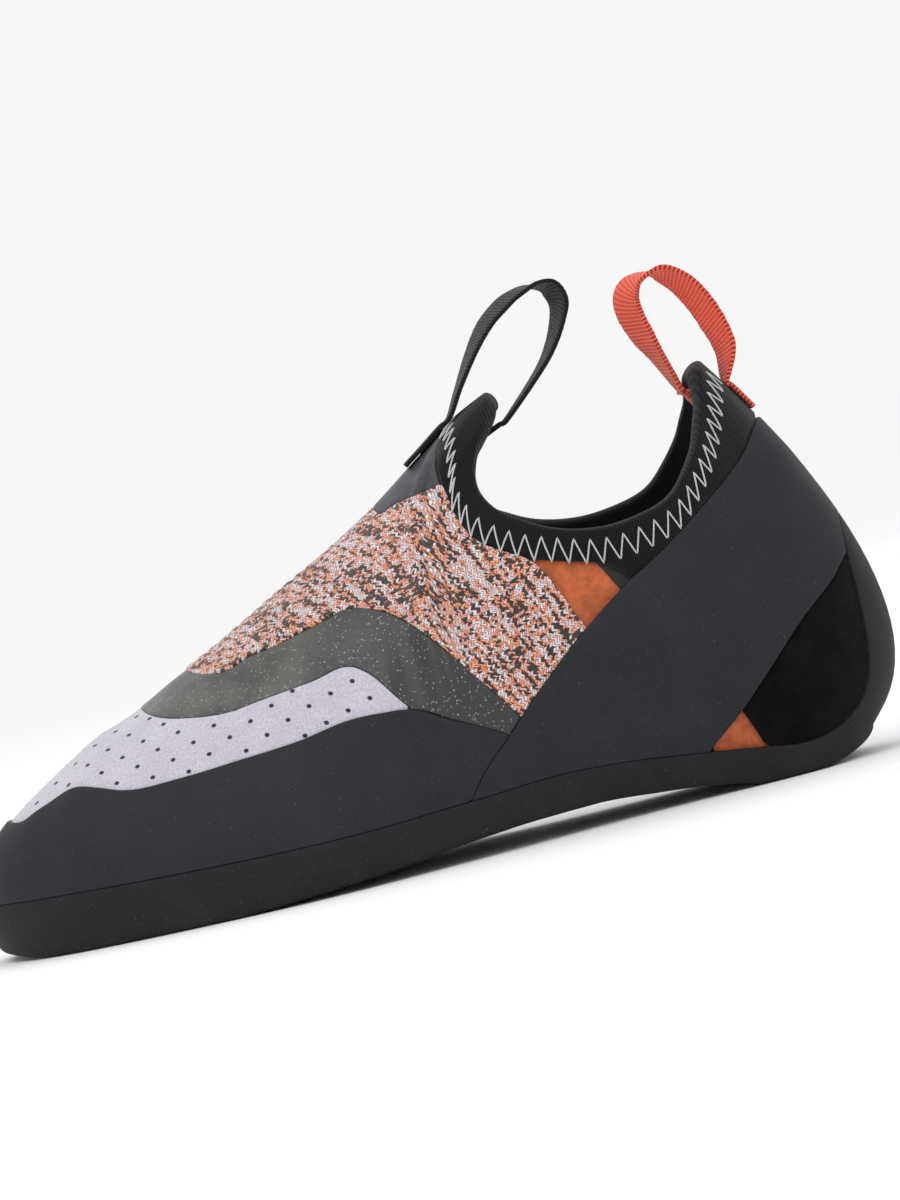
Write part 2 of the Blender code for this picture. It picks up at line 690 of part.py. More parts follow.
def make_outsole():
    """Tread, sidewall and heel cup in one body, open at the top where the upper stands in it."""
    vertices = []
    columns = []
    for u in loop_stations():
        top = climb(SOLE_TOP, abs(u), -0.5 * SEAM_GAP)
        base = climb_to_height(u, RUBBER, floor_inside)
        floor = under_skin(u, base, RUBBER)
        floor[2] = floor_inside(floor[0])
        rim = under_skin(u, top, RUBBER)
        profile = [(-2.0, rounded_edge(u, 0.0)), (-1.0, rounded_edge(u, 0.5))]
        profile += [(v, skin(u, v)) for v in column(0.0, top)]
        profile += [(2.0 - top, rim)]
        profile += [(2.0 - v, under_skin(u, v, RUBBER)) for v in reversed(column(base, top)[1:-1])]
        profile += [(2.0 - base, floor)]
        columns.append([(v, len(vertices) + n) for n, (v, point) in enumerate(profile)])
        vertices += [point for _, point in profile]
    faces = []
    for n, first in enumerate(columns):
        faces += stitch(first, columns[(n + 1) % len(columns)], False)
    faces += ladder([corners[0][1] for corners in columns], underside, vertices)
    faces += ladder([corners[-1][1] for corners in columns], floor_inside, vertices)
    return make_piece("outsole", vertices, faces, BLACK_RUBBER)


def make_insole():
    """A thin footbed on the sole's floor, inside the upper's wall."""
    depth = RUBBER + LAYER_GAP + UPPER_WALL + LINING_GAP

    def bottom(along):
        return floor_inside(along) + GAP

    def top(along):
        return bottom(along) + INSOLE

    vertices = []
    columns = []
    for u in loop_stations():
        edge = under_skin(u, climb_to_height(u, depth, bottom), depth)
        columns.append([(0.0, len(vertices)), (1.0, len(vertices) + 1)])
        vertices += [np.array((edge[0], edge[1], height(edge[0]))) for height in (bottom, top)]
    faces = []
    for n, first in enumerate(columns):
        faces += stitch(first, columns[(n + 1) % len(columns)], False)
    faces += ladder([corners[0][1] for corners in columns], bottom, vertices)
    faces += ladder([corners[1][1] for corners in columns], top, vertices)
    return make_piece("insole", vertices, faces, GREY_FOAM)


def make_upper():
    """The hollow body: one wall from the sole's floor to the ridge and the collar."""
    outer = RUBBER + LAYER_GAP
    inner = outer + UPPER_WALL

    def base(along):
        return floor_inside(along) + GAP

    sheet = Sheet()
    for side in (-1, 1):
        columns = []
        for i, place in enumerate(PLACES):
            reach, end = (place, 1.0) if place < TAB else collar_back(place, BINDING + GAP)
            half = 1 if place in (0.0, 1.0) else side
            start = climb_to_height(place * half, outer, base)
            start_inside = climb_to_height(place * half, inner, base)
            levels = column(start, end)
            corners = []
            for v in levels:
                low = start_inside if v == start else v
                shared = key_side(side, place, v) == 0 or place == TAB and v == end
                u = (reach if v == end else place) * (1 if shared else side)
                key = (0 if shared else side, i, round(v, 6))
                corners.append((v, sheet.put(key, under_skin(u, v, outer), under_skin(u, low, inner))))
            columns.append(corners)
        for i in range(LAST):
            sheet.span(columns[i], columns[i + 1], side)
    return sheet.piece("upper", ORANGE_MICROFIBRE)


def make_binding():
    """The folded binding: an outer leg on the upper, a lip over its edge and an inner leg."""
    low = above(BINDING_LOW, BAND_FRONT)
    outer = RUBBER - BINDING_PROUD
    lining = RUBBER + LAYER_GAP + UPPER_WALL + LINING_GAP
    sheet = Sheet()
    for side in (-1, 1):
        columns = []
        folds = []
        for i, place in enumerate(PLACES):
            start = low(place)
            if 1.0 - start < 1e-6:
                columns.append([])
                folds.append([])
                continue
            if place < TAB:
                columns.append(sheet_column(sheet, side, i, place, column(start, 1.0), outer, RUBBER))
                folds.append([])
                continue
            corners = sheet_column(sheet, side, i, place, column(start, 1.0)[:-1], outer, RUBBER)
            half = 0 if place in (TAB, 1.0) else side
            turn = half or 1
            lip, lip_v = collar_back(place, BINDING)
            leg, leg_v = collar_back(place, BINDING_LEG)
            edge = skin(place * turn, 1.0)
            fold_line = skin(lip * turn, lip_v)
            inward = -skin_normal(lip * turn, lip_v)
            top = sheet.put((half, i, 1.0), edge + inward * outer, fold_line + inward * RUBBER)
            over = sheet.put((half, i, 2.0), edge + inward * (lining + BINDING),
                             fold_line + inward * lining)
            fold = [(1.0, top), (2.0, over)]
            down = column(leg_v, lip_v)[-2::-1] if leg == place else [leg_v]
            for v in down:
                near = facet_point(leg * turn, v, lining + BINDING)
                fold.append((3.0 - v, sheet.put((half, i, 3.0 - v), near, facet_point(leg * turn, v, lining))))
            columns.append(corners + [(1.0, top)])
            folds.append(fold)
        for i in range(LAST):
            first, second = columns[i], columns[i + 1]
            if not first and not second:
                continue
            if not first:
                tip = meeting_place(low, lambda place: 1.0, PLACES[i], PLACES[i + 1], False)
                first = sheet_column(sheet, side, i + 0.5, tip, [1.0], outer, RUBBER)
            sheet.span(first, second, side)
            if folds[i]:
                sheet.span(folds[i], folds[i + 1], side)
    return sheet.piece("collar_binding", BLACK_BINDING)


def rings_to_faces(count, size):
    """Faces between rings that follow one another."""
    faces = []
    for r in range(count - 1):
        for k in range(size):
            following = (k + 1) % size
            first, second = r * size, (r + 1) * size
            faces.append([first + k, first + following, second + following, second + k])
    return faces


def tail(rows, depth):
    """Points of a sewn tail at a depth below the skin."""
    return [under_skin(place, v, depth) for place, v in shares(rows)]


def make_loop(name, outside, free, inside, finish):
    """A flat webbing loop: sewn outside the tab, free, and sewn inside it."""
    clear = GAP + 0.5 * WEBBING
    lining = RUBBER + LAYER_GAP + UPPER_WALL + LINING_GAP + BINDING
    first = tail(outside, RUBBER - BINDING_PROUD - clear)
    last = tail(inside, lining + clear + TAB_HOLLOW)
    middle = [(x * LENGTH, first[-1][1], z * TAB_HEIGHT) for x, z, _ in shares(free)]
    points = np.array(first + middle + last)
    turns = np.radians([0.0] * len(first) + [row[2] for row in free] + [0.0] * len(last))
    knots = np.arange(len(points), dtype=float)
    samples = np.linspace(0.0, knots[-1], LOOP_STEPS * len(free) + 1)
    path = np.array([curve_point(knots, points, place) for place in samples])
    turn = np.interp(samples, knots, turns)
    tangents = np.gradient(path, axis=0)
    tangents /= np.linalg.norm(tangents, axis=1)[:, None]
    vertices = []
    for point, tangent, angle in zip(path, tangents, turn):
        across = np.array((-math.sin(angle), math.cos(angle), 0.0))
        across -= tangent * np.dot(across, tangent)
        across /= np.linalg.norm(across)
        normal = np.cross(tangent, across)
        for wide, thick in ((-0.5, -0.5), (0.5, -0.5), (0.5, 0.5), (-0.5, 0.5)):
            vertices.append(point + across * wide * WEBBING_WIDTH + normal * thick * WEBBING)
    faces = rings_to_faces(len(path), 4)
    last_ring = 4 * (len(path) - 1)
    faces += [[3, 2, 1, 0], [last_ring, last_ring + 1, last_ring + 2, last_ring + 3]]
    return make_piece(name, vertices, faces, finish)


def main():
    """Build every piece of the shoe."""
    clear_scene()
    make_outsole()
    make_upper()
    make_insole()
    make_panel("toe_rand", above(SOLE_TOP, BAND_FRONT), below(RAND_TOP), RUBBER, RAND_RUBBER)
    make_panel("tension_band", above(SOLE_TOP, BAND_REAR), below(BAND_FRONT), RUBBER, RAND_RUBBER)
    make_panel("toe_panel", above(RAND_TOP), below(PANEL_TOP), PANEL_PROUD, GREY_MICROFIBRE)
    make_panel("vamp_overlay", above(PANEL_TOP, RAND_TOP, BAND_FRONT), below(OVERLAY_TOP),
               FILM_PROUD, DARK_FILM)
    make_panel("knit_panel", above(OVERLAY_TOP, BAND_FRONT), below(KNIT_TOP), KNIT_PROUD, CORAL_KNIT)
    make_panel("instep_patch", above(PATCH_LOW), below(BINDING_LOW), PATCH_PROUD, SMOOTH_PATCH)
    suede = (above(SOLE_TOP, SUEDE_FRONT), below(BAND_REAR), SUEDE_PROUD, BLACK_SUEDE)
    make_panel("heel_panel_lateral", *suede, sides=(-1,))
    make_panel("heel_panel_medial", *suede, sides=(1,))
    make_binding()
    make_loop("front_pull_loop", FRONT_TAIL_OUTSIDE, FRONT_LOOP, FRONT_TAIL_INSIDE, BLACK_WEBBING)
    make_loop("rear_pull_loop", REAR_TAIL_OUTSIDE, REAR_LOOP, REAR_TAIL_INSIDE, CORAL_WEBBING)


main()
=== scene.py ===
"""Looks of a left slip-on climbing shoe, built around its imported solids.

Every piece hangs on one skin, the outermost surface of the shoe. A place on the skin has two
numbers. u runs round the shoe from the heel (-1) along the lateral side to the toe (0) and back
along the medial side to the heel (1), and v climbs a rib from the sole's bottom edge (0) to the
instep's ridge or to the collar (1). Lengths are metres, and patterns are drawn in millimetres.
"""

import logging
import math
from dataclasses import dataclass, field
from enum import Enum
from functools import lru_cache
from typing import Any, Callable, Sequence

import bpy
import numpy as np
from mathutils import Matrix, Vector


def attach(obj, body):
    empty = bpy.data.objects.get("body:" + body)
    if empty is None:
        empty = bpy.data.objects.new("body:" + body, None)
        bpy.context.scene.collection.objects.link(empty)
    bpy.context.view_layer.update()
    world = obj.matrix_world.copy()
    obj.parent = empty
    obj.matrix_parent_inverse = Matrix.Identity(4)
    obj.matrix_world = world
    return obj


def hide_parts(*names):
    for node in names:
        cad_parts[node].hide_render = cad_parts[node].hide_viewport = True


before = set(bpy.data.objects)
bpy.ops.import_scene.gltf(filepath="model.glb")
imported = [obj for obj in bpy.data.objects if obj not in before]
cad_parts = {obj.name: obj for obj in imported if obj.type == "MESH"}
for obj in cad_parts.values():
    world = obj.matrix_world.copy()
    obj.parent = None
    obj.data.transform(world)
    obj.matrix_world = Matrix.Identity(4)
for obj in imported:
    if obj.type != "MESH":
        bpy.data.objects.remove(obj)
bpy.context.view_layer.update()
LOG = logging.getLogger("climbing_shoe")

Rows = tuple[tuple[float, ...], ...]
Border = Callable[[float], float]
Relief = Callable[[np.ndarray, np.ndarray], np.ndarray]

MM = 0.001
TINY = 1e-4
FLOOR_GAP = 0.0002
EDGE_DROP = 0.00035


@dataclass(frozen=True)
class Sizes:
    """Driving sizes and thicknesses, the same as those of the solids, in metres."""

    length: float = 0.245
    ball_width: float = 0.091
    tab_height: float = 0.113
    heel_rest: float = 0.853
    tab: float = 0.54
    gap: float = 0.0003
    seam_gap: float = 0.00006
    layer_gap: float = 0.0007
    lining_gap: float = 0.0005
    tread: float = 0.004
    edge_round: float = 0.0015
    rubber: float = 0.0016
    film_proud: float = 0.0009
    knit_proud: float = 0.0011
    panel_proud: float = 0.0008
    patch_proud: float = 0.0011
    suede_proud: float = 0.0008
    upper_wall: float = 0.0018
    binding: float = 0.0012
    binding_proud: float = 0.0013
    binding_leg: float = 0.007
    insole: float = 0.002
    webbing_width: float = 0.010
    webbing: float = 0.0012
    tab_hollow: float = 0.0024
    station_step: float = 0.0011

    @property
    def lining(self) -> float:
        """Depth of the upper's inner face with the gap behind it."""
        return self.rubber + self.layer_gap + self.upper_wall + self.lining_gap


SIZES = Sizes()

# Plan outline over the widest line, in hundredths: place round the shoe, distance from the toe
# over the length, and the lateral and medial edges over the ball's width
OUTLINE: Rows = (
    (0.0, 0.0, 14.3, 14.3), (3.0, 0.4, 4.4, 23.6), (7.0, 2.2, -6.6, 31.9),
    (11.5, 5.7, -18.1, 38.5), (16.5, 10.2, -28.0, 43.4), (22.0, 15.9, -36.8, 46.7),
    (28.0, 22.5, -44.5, 48.4), (34.5, 29.8, -51.1, 48.4), (41.4, 38.0, -54.4, 45.6),
    (48.3, 46.1, -52.7, 40.1), (55.0, 53.9, -48.9, 34.1), (61.0, 60.8, -44.0, 30.2),
    (67.5, 68.2, -39.0, 29.1), (73.8, 75.5, -36.3, 30.2), (79.7, 82.5, -35.2, 31.3),
    (85.0, 88.6, -33.0, 30.2), (89.3, 93.5, -27.5, 25.8), (93.4, 97.1, -19.2, 18.1),
    (96.9, 99.3, -9.9, 9.6), (100.0, 100.0, 0.0, 0.0),
)

# Ridge of the toe box and instep, in hundredths: place, distance from the toe over the length,
# offset to the medial side over the ball's width, height over the tab's height
RIDGE: Rows = (
    (0.0, 11.8, 9.9, 40.0), (7.0, 12.7, 9.9, 41.1), (11.5, 14.1, 9.3, 42.8),
    (16.5, 16.3, 8.8, 45.3), (22.0, 20.0, 7.7, 48.0), (28.0, 25.3, 6.0, 53.5),
    (34.0, 31.4, 4.4, 59.6), (39.5, 38.0, 2.7, 67.0), (44.0, 44.5, 1.6, 74.1),
    (47.5, 50.2, 1.1, 81.2), (50.5, 55.9, 0.5, 89.6), (52.5, 60.4, 0.0, 96.0),
    (54.0, 64.5, 0.0, 100.0),
)

# Collar line from the front tab's tip to the rear tab's, in hundredths: place, distance from the
# toe over the length, then half-width over the ball's width and height over the tab's height,
# lateral and medial
COLLAR: Rows = (
    (54.0, 64.5, 0.0, 100.0, 0.0, 100.0), (54.8, 64.2, 7.5, 98.5, 7.5, 98.5),
    (55.9, 63.2, 13.9, 93.9, 13.9, 94.0), (57.5, 61.4, 18.1, 87.3, 17.6, 88.0),
    (59.5, 60.6, 22.0, 80.5, 20.9, 81.5), (61.7, 61.6, 25.8, 74.8, 24.2, 76.4),
    (64.5, 64.7, 30.2, 69.5, 28.0, 71.5), (68.0, 68.2, 33.0, 65.9, 30.8, 68.3),
    (71.2, 71.9, 34.6, 64.4, 31.9, 67.0), (74.3, 75.5, 34.0, 65.0, 31.3, 67.6),
    (77.8, 79.1, 31.9, 67.4, 29.7, 70.0), (81.2, 81.6, 28.6, 72.4, 26.9, 75.0),
    (84.8, 83.7, 23.6, 78.8, 22.5, 81.0), (88.5, 84.9, 18.1, 85.0, 17.6, 86.5),
    (92.5, 85.6, 13.4, 90.7, 13.3, 91.4), (96.5, 86.1, 8.0, 94.3, 7.9, 94.6),
    (100.0, 86.5, 0.0, 95.8, 0.0, 95.8),
)

# Shape of the ribs: place in hundredths, tuck of the bottom edge and push of the belly in
# hundredths of the ball's width, rise of the belly and reach of the crown in hundredths of the
# rib, then heading and lift of the rib's end in degrees
RIBS: Rows = (
    (0.0, 2.7, 5.5, 50.0, 44.0, 90.0, 0.0), (7.0, 2.5, 5.5, 50.0, 44.0, 50.0, 0.0),
    (16.5, 2.0, 5.5, 45.0, 40.0, 28.0, 0.0), (28.0, 1.8, 6.0, 38.0, 33.0, 18.0, 0.0),
    (40.0, 1.8, 6.6, 30.0, 28.0, 14.0, 0.0), (47.5, 1.8, 6.5, 28.0, 23.0, 25.0, 6.0),
    (50.8, 1.8, 0.0, 36.0, 30.0, 48.5, 0.0), (54.0, 1.8, 7.4, 42.0, 37.0, 72.0, -2.0),
    (56.7, 1.8, 7.1, 31.0, 28.0, 79.0, 12.0), (59.5, 1.8, 6.5, 38.0, 22.0, 68.0, 26.0),
    (61.8, 1.9, 3.4, 35.5, 27.0, 55.0, 38.0), (64.5, 2.0, 3.3, 25.0, 28.0, 50.0, 55.0),
    (71.2, 2.2, 3.3, 33.0, 30.0, 8.0, 82.0), (77.8, 2.4, 4.4, 33.0, 32.0, -15.0, 80.0),
    (84.8, 3.3, 6.6, 28.0, 36.0, -45.0, 70.0), (92.5, 8.8, 11.0, 20.0, 42.0, -75.0, 58.0),
    (97.5, 12.2, 13.0, 17.0, 43.6, -85.0, 55.0), (100.0, 12.4, 13.2, 16.5, 44.0, -90.0, 54.6),
)

# Underside in side view, in hundredths: distance from the toe over the length, height over the
# tab's height
UNDERSIDE: Rows = (
    (0.0, 4.0), (1.0, 2.7), (3.3, 1.1), (5.3, 0.3), (7.0, 0.0), (25.3, 0.0), (32.7, 0.8),
    (41.2, 2.1), (49.8, 3.8), (58.4, 4.9), (64.1, 5.0), (71.0, 3.8), (76.3, 2.5), (79.6, 1.1),
    (82.0, 0.0), (88.6, 0.0), (90.6, 0.9), (92.7, 2.2), (94.7, 4.1), (96.7, 7.3),
)


class Edge(Enum):
    """Edges of the pieces in side view, toe to heel, in hundredths of length and tab height."""

    SOLE_TOP = (
        (-2.0, 13.7), (10.4, 13.1), (23.8, 12.3), (40.7, 12.0), (51.8, 12.7), (62.0, 13.3),
        (67.5, 12.5), (72.9, 11.0), (82.6, 7.9), (86.8, 6.6), (90.3, 7.8), (93.1, 11.1),
        (95.2, 17.7), (95.8, 24.0), (96.1, 34.0), (96.2, 44.0), (96.4, 50.0), (96.8, 53.4),
        (104.0, 54.4),
    )
    RAND_TOP = (
        (-2.0, 30.0), (4.1, 31.4), (6.5, 30.6), (9.5, 33.0), (13.3, 35.6), (15.3, 34.5),
        (17.7, 32.8), (23.8, 32.6), (29.9, 33.5), (36.4, 34.6), (42.1, 36.4), (44.9, 36.2),
        (48.2, 35.3), (51.4, 31.5), (56.6, 25.4), (58.4, 22.1), (64.0, 8.0), (66.0, -6.0),
    )
    BAND_FRONT = (
        (47.0, -6.0), (50.2, 9.3), (51.7, 12.7), (53.4, 17.4), (57.1, 24.5), (61.6, 33.0),
        (67.6, 43.4), (72.8, 50.9), (75.1, 53.5), (82.5, 63.5), (87.8, 71.8), (91.0, 79.0),
        (104.0, 79.0),
    )
    BAND_REAR = (
        (73.0, -6.0), (75.5, 5.3), (77.1, 10.4), (78.8, 13.3), (81.5, 18.0), (84.4, 23.8),
        (89.6, 33.9), (94.1, 41.0), (96.1, 45.0), (104.0, 48.0),
    )
    SUEDE_FRONT = (
        (77.0, 36.0), (78.8, 29.0), (81.0, 17.2), (82.6, 8.0), (83.3, 2.7), (83.7, -6.0),
    )
    PANEL_TOP = (
        (20.0, 66.0), (21.7, 48.2), (27.0, 44.8), (30.0, 44.4), (33.4, 45.3), (39.1, 46.7),
        (43.4, 47.7), (44.6, 45.9), (46.7, 40.0), (48.2, 35.5), (51.0, 24.8), (53.0, -6.0),
    )
    OVERLAY_TOP = (
        (24.5, 72.0), (26.8, 55.0), (31.0, 53.2), (33.4, 55.0), (35.7, 55.8), (41.0, 58.4),
        (44.8, 60.1), (46.1, 59.4), (48.6, 56.7), (50.8, 51.7), (53.0, 46.3), (55.1, 39.8),
        (57.1, 33.5), (58.7, 28.2), (61.2, 19.5), (64.0, -6.0),
    )
    KNIT_TOP = (
        (47.6, 96.0), (49.6, 81.2), (50.1, 78.9), (51.8, 80.1), (55.4, 81.4), (56.7, 82.0),
        (57.5, 74.5), (58.5, 69.1), (60.7, 64.9), (62.9, 62.2), (67.5, 43.4), (70.6, 31.0),
        (74.0, -6.0),
    )
    PATCH_LOW = (
        (47.6, 96.0), (49.6, 81.2), (50.1, 78.9), (51.8, 80.1), (55.4, 81.4), (56.7, 82.0),
        (70.0, 82.5), (104.0, 83.0),
    )
    BINDING_LOW = (
        (61.6, 112.0), (59.4, 95.4), (58.2, 92.0), (57.0, 87.6), (56.7, 82.0), (57.5, 74.5),
        (58.5, 69.1), (60.7, 64.9), (62.9, 61.9), (66.5, 59.1), (71.2, 55.5), (73.5, 51.3),
        (78.4, 44.0), (104.0, 40.0),
    )


# Free runs of the webbing, from the outer tail round to the inner one, in hundredths of length
# and tab height, and turn about the upright in degrees
FRONT_LOOP: Rows = (
    (61.5, 101.6, 4.0), (63.7, 108.8, 14.0), (65.6, 113.8, 24.0), (67.4, 116.9, 32.0),
    (69.2, 119.0, 36.0), (71.4, 120.1, 34.0), (73.1, 119.0, 30.0), (73.8, 115.4, 24.0),
    (73.2, 111.1, 18.0), (71.9, 106.0, 12.0), (70.0, 101.0, 6.0),
)
REAR_LOOP: Rows = (
    (89.6, 96.1, 26.0), (89.0, 102.5, 36.0), (87.9, 108.6, 38.0), (86.4, 113.5, 38.0),
    (84.3, 116.6, 38.0), (82.0, 115.9, 36.0), (80.8, 112.8, 36.0), (80.8, 108.4, 36.0),
    (81.6, 102.7, 30.0), (82.6, 97.4, 14.0),
)

# Sewn tails of the webbing: place and climb on the skin in hundredths
FRONT_TAIL_OUTSIDE: Rows = ((49.7, 100.0), (51.0, 100.0), (52.3, 100.0))
FRONT_TAIL_INSIDE: Rows = ((53.9, 100.0), (52.9, 100.0), (51.9, 100.0))
REAR_TAIL_OUTSIDE: Rows = ((100.0, 86.0), (100.0, 89.5), (100.0, 93.0))
REAR_TAIL_INSIDE: Rows = ((100.0, 98.5), (100.0, 95.0), (100.0, 91.5))


def shares(rows: Rows) -> np.ndarray:
    """Turn rows of hundredths into shares."""
    return np.array(rows, dtype=float) / 100.0


def hermite(knots: np.ndarray, values: np.ndarray, tangents: np.ndarray, place: float) -> np.ndarray:
    """Read a piecewise cubic.

    Args:
        knots: Rising places of the values.
        values: A value or a row of values at each knot.
        tangents: The slope at each knot.
        place: Where to read it.

    Returns:
        The value or the row of values at the place.
    """
    i = int(np.clip(np.searchsorted(knots, place, side="right") - 1, 0, len(knots) - 2))
    width = knots[i + 1] - knots[i]
    t = (place - knots[i]) / width
    start = (1.0 + 2.0 * t) * (1.0 - t) ** 2
    leave = t * (1.0 - t) ** 2 * width
    end = t * t * (3.0 - 2.0 * t)
    arrive = t * t * (t - 1.0) * width
    return start * values[i] + leave * tangents[i] + end * values[i + 1] + arrive * tangents[i + 1]


class Curve:
    """A smooth curve through rows of values, open or closed."""

    def __init__(self, knots: np.ndarray, values: np.ndarray, period: float = 0.0,
                 monotone: bool = False) -> None:
        """Work out the slopes.

        Args:
            knots: Rising places of the values.
            values: A value or a row of values at each knot.
            period: Length after which a closed curve repeats, or 0 for an open one.
            monotone: Whether the curve may not swing past its values.
        """
        if period:
            knots = np.concatenate((knots[-3:] - period, knots, knots[:3] + period))
            values = np.concatenate((values[-3:], values, values[:3]))
        self.knots = knots
        self.values = values
        self.tangents = np.gradient(values, knots, axis=0)
        if monotone:
            secants = np.diff(values) / np.diff(knots)
            before, after = secants[:-1], secants[1:]
            same_way = before * after > 0.0
            total = np.where(same_way, before + after, 1.0)
            self.tangents[1:-1] = np.where(same_way, 2.0 * before * after / total, 0.0)

    def at(self, place: float) -> np.ndarray:
        """Read the curve at a place."""
        return hermite(self.knots, self.values, self.tangents, place)


class Skin:
    """The outermost surface of the shoe, worked out from the sizes and the tables."""

    normal_place: float = 0.010
    normal_climb: float = 0.020
    samples: int = 64
    line_parts: int = 6

    def __init__(self, sizes: Sizes) -> None:
        """Set up the curves of the outline, ridge, collar, ribs and underside."""
        self.sizes = sizes
        rows = shares(OUTLINE)
        along = rows[:, 1] * sizes.length
        lateral = np.column_stack((along, rows[:, 2] * sizes.ball_width))
        medial = np.column_stack((along, rows[:, 3] * sizes.ball_width))
        places = np.concatenate((-rows[:0:-1, 0], rows[:-1, 0]))
        self.outline = Curve(places, np.concatenate((lateral[:0:-1], medial[:-1])), 2.0)
        rows = shares(COLLAR)
        along = rows[:, 1] * sizes.length
        width, height = sizes.ball_width, sizes.tab_height
        lateral = np.column_stack((along, -rows[:, 2] * width, rows[:, 3] * height))
        medial = np.column_stack((along, rows[:, 4] * width, rows[:, 5] * height))
        places = np.concatenate((rows[:, 0], 2.0 - rows[-2:0:-1, 0]))
        self.collar = Curve(places, np.concatenate((lateral, medial[-2:0:-1])), 2.0 * (1.0 - sizes.tab))
        rows = shares(RIDGE)
        self.ridge = Curve(rows[:, 0], rows[:, 1:] * np.array((sizes.length, width, height)))
        rows = np.array(RIBS)
        rows[:, :5] /= 100.0
        self.ribs = Curve(rows[:, 0], rows[:, 1:])
        rows = shares(UNDERSIDE) * np.array((sizes.length, height))
        self.sole = Curve(rows[:, 0], rows[:, 1], monotone=True)

    def underside(self, along: float) -> float:
        """Height of the sole's underside at a distance from the toe."""
        low, high = self.sole.knots[0], self.sole.knots[-1]
        return float(self.sole.at(min(max(along, low), high)))

    def floor_inside(self, along: float) -> float:
        """Height of the floor inside the sole."""
        return self.underside(along) + self.sizes.tread

    def outward(self, u: float) -> np.ndarray:
        """Plan direction that points away from the shoe at u."""
        step = self.outline.at(u + TINY) - self.outline.at(u - TINY)
        normal = np.array((-step[1], step[0]))
        return normal / np.linalg.norm(normal)

    def ridge_slope(self, place: float) -> float:
        """Rise of the ridge over its run."""
        step = self.ridge.at(place) - self.ridge.at(place - 0.01)
        return float(step[2] / step[0])

    def top(self, u: float) -> np.ndarray:
        """Upper end of the rib at u, on the ridge or on the collar line."""
        place = abs(u)
        if place <= self.sizes.tab:
            return self.ridge.at(place)
        return self.collar.at(2.0 - place if u > 0 else place)

    @lru_cache(maxsize=None)
    def rib(self, u: float) -> np.ndarray:
        """The four control points of the rib at u."""
        place = abs(u)
        side = 1.0 if u > 0 else -1.0
        tuck, belly, rise, crown, heading, lift = self.ribs.at(place)
        width = self.sizes.ball_width
        edge = self.outline.at(u)
        out = self.outward(u)
        top = self.top(u)
        foot_plan = edge - out * tuck * width
        foot = np.array((*foot_plan, self.underside(foot_plan[0]) + self.sizes.edge_round))
        belly_plan = edge + out * belly * width
        belly_point = np.array((*belly_plan, foot[2] + rise * (top[2] - foot[2])))
        heading, lift = math.radians(heading), math.radians(lift)
        fade = float(np.clip(1.0 - (place - self.sizes.tab) / 0.12, 0.0, 1.0))
        slope = self.ridge_slope(float(np.clip(place, 0.03, self.sizes.tab))) * fade
        across = np.array((math.sin(heading), -side * math.cos(heading)))
        climb = math.sin(lift) + math.cos(lift) * across[0] * slope
        end = np.array((*(math.cos(lift) * across), climb))
        end /= np.linalg.norm(end)
        crown_point = top - end * crown * np.linalg.norm(top - foot)
        return np.array((foot, belly_point, crown_point, top))

    def points(self, u: float, v: np.ndarray) -> np.ndarray:
        """Points of the skin at u, one for each climb."""
        v = np.asarray(v, dtype=float)[..., None]
        foot, belly, crown, top = self.rib(float(u))
        near = (1.0 - v) ** 3 * foot + 3.0 * (1.0 - v) ** 2 * v * belly
        return near + 3.0 * (1.0 - v) * v * v * crown + v ** 3 * top

    def normals(self, u: float, v: np.ndarray) -> np.ndarray:
        """Directions that point out of the skin at u, one for each climb."""
        v = np.asarray(v, dtype=float)
        low = np.maximum(v - self.normal_climb, 0.0)
        high = np.minimum(v + self.normal_climb, 1.0)
        climb = self.points(u, high) - self.points(u, low)
        ahead = min(u + self.normal_place, 1.0)
        behind = max(u - self.normal_place, -1.0)
        normal = np.cross(climb, self.points(ahead, v) - self.points(behind, v))
        normal /= np.linalg.norm(normal, axis=-1)[..., None]
        if abs(u) <= self.sizes.tab:
            slope = self.ridge_slope(max(abs(u), 0.03))
            upright = np.array((-slope, 0.0, 1.0)) / math.hypot(slope, 1.0)
            normal = np.where((v > 1.0 - TINY)[..., None], upright, normal)
        return normal

    def under(self, u: float, v: np.ndarray, depth: np.ndarray | float) -> np.ndarray:
        """Points a depth below the skin."""
        depth = np.broadcast_to(np.asarray(depth, dtype=float), np.shape(v))
        return self.points(u, v) - self.normals(u, v) * depth[..., None]

    def developed(self, u: float, v: np.ndarray) -> np.ndarray:
        """Flat coordinates of places on the skin, for patterns.

        Args:
            u: Place round the shoe.
            v: Climbs on the rib.

        Returns:
            For each climb the distance from the toe and the height along the wall, in metres.
        """
        fine = np.linspace(0.0, 1.0, self.samples)
        path = self.points(u, fine)
        steps = np.linalg.norm(np.diff(path[:, 1:], axis=0), axis=1)
        grown = np.concatenate(((0.0,), np.cumsum(steps)))
        drop = grown[-1] - np.interp(v, fine, grown)
        return np.column_stack((self.points(u, v)[:, 0], path[-1, 2] - drop))

    @lru_cache(maxsize=None)
    def line(self, edge: Edge, shift: float) -> np.ndarray:
        """A side-view edge as a fine smooth line, moved to its left by a distance."""
        points = shares(edge.value) * np.array((self.sizes.length, self.sizes.tab_height))
        chord = np.concatenate(((0.0,), np.cumsum(np.linalg.norm(np.diff(points, axis=0), axis=1))))
        curve = Curve(chord, points)
        fine = np.unique(np.concatenate([np.linspace(a, b, self.line_parts + 1)
                                         for a, b in zip(chord, chord[1:])]))
        smooth = np.array([curve.at(place) for place in fine])
        tangents = np.gradient(smooth, axis=0)
        lefts = np.column_stack((-tangents[:, 1], tangents[:, 0]))
        return smooth + shift * lefts / np.linalg.norm(lefts, axis=1)[:, None]

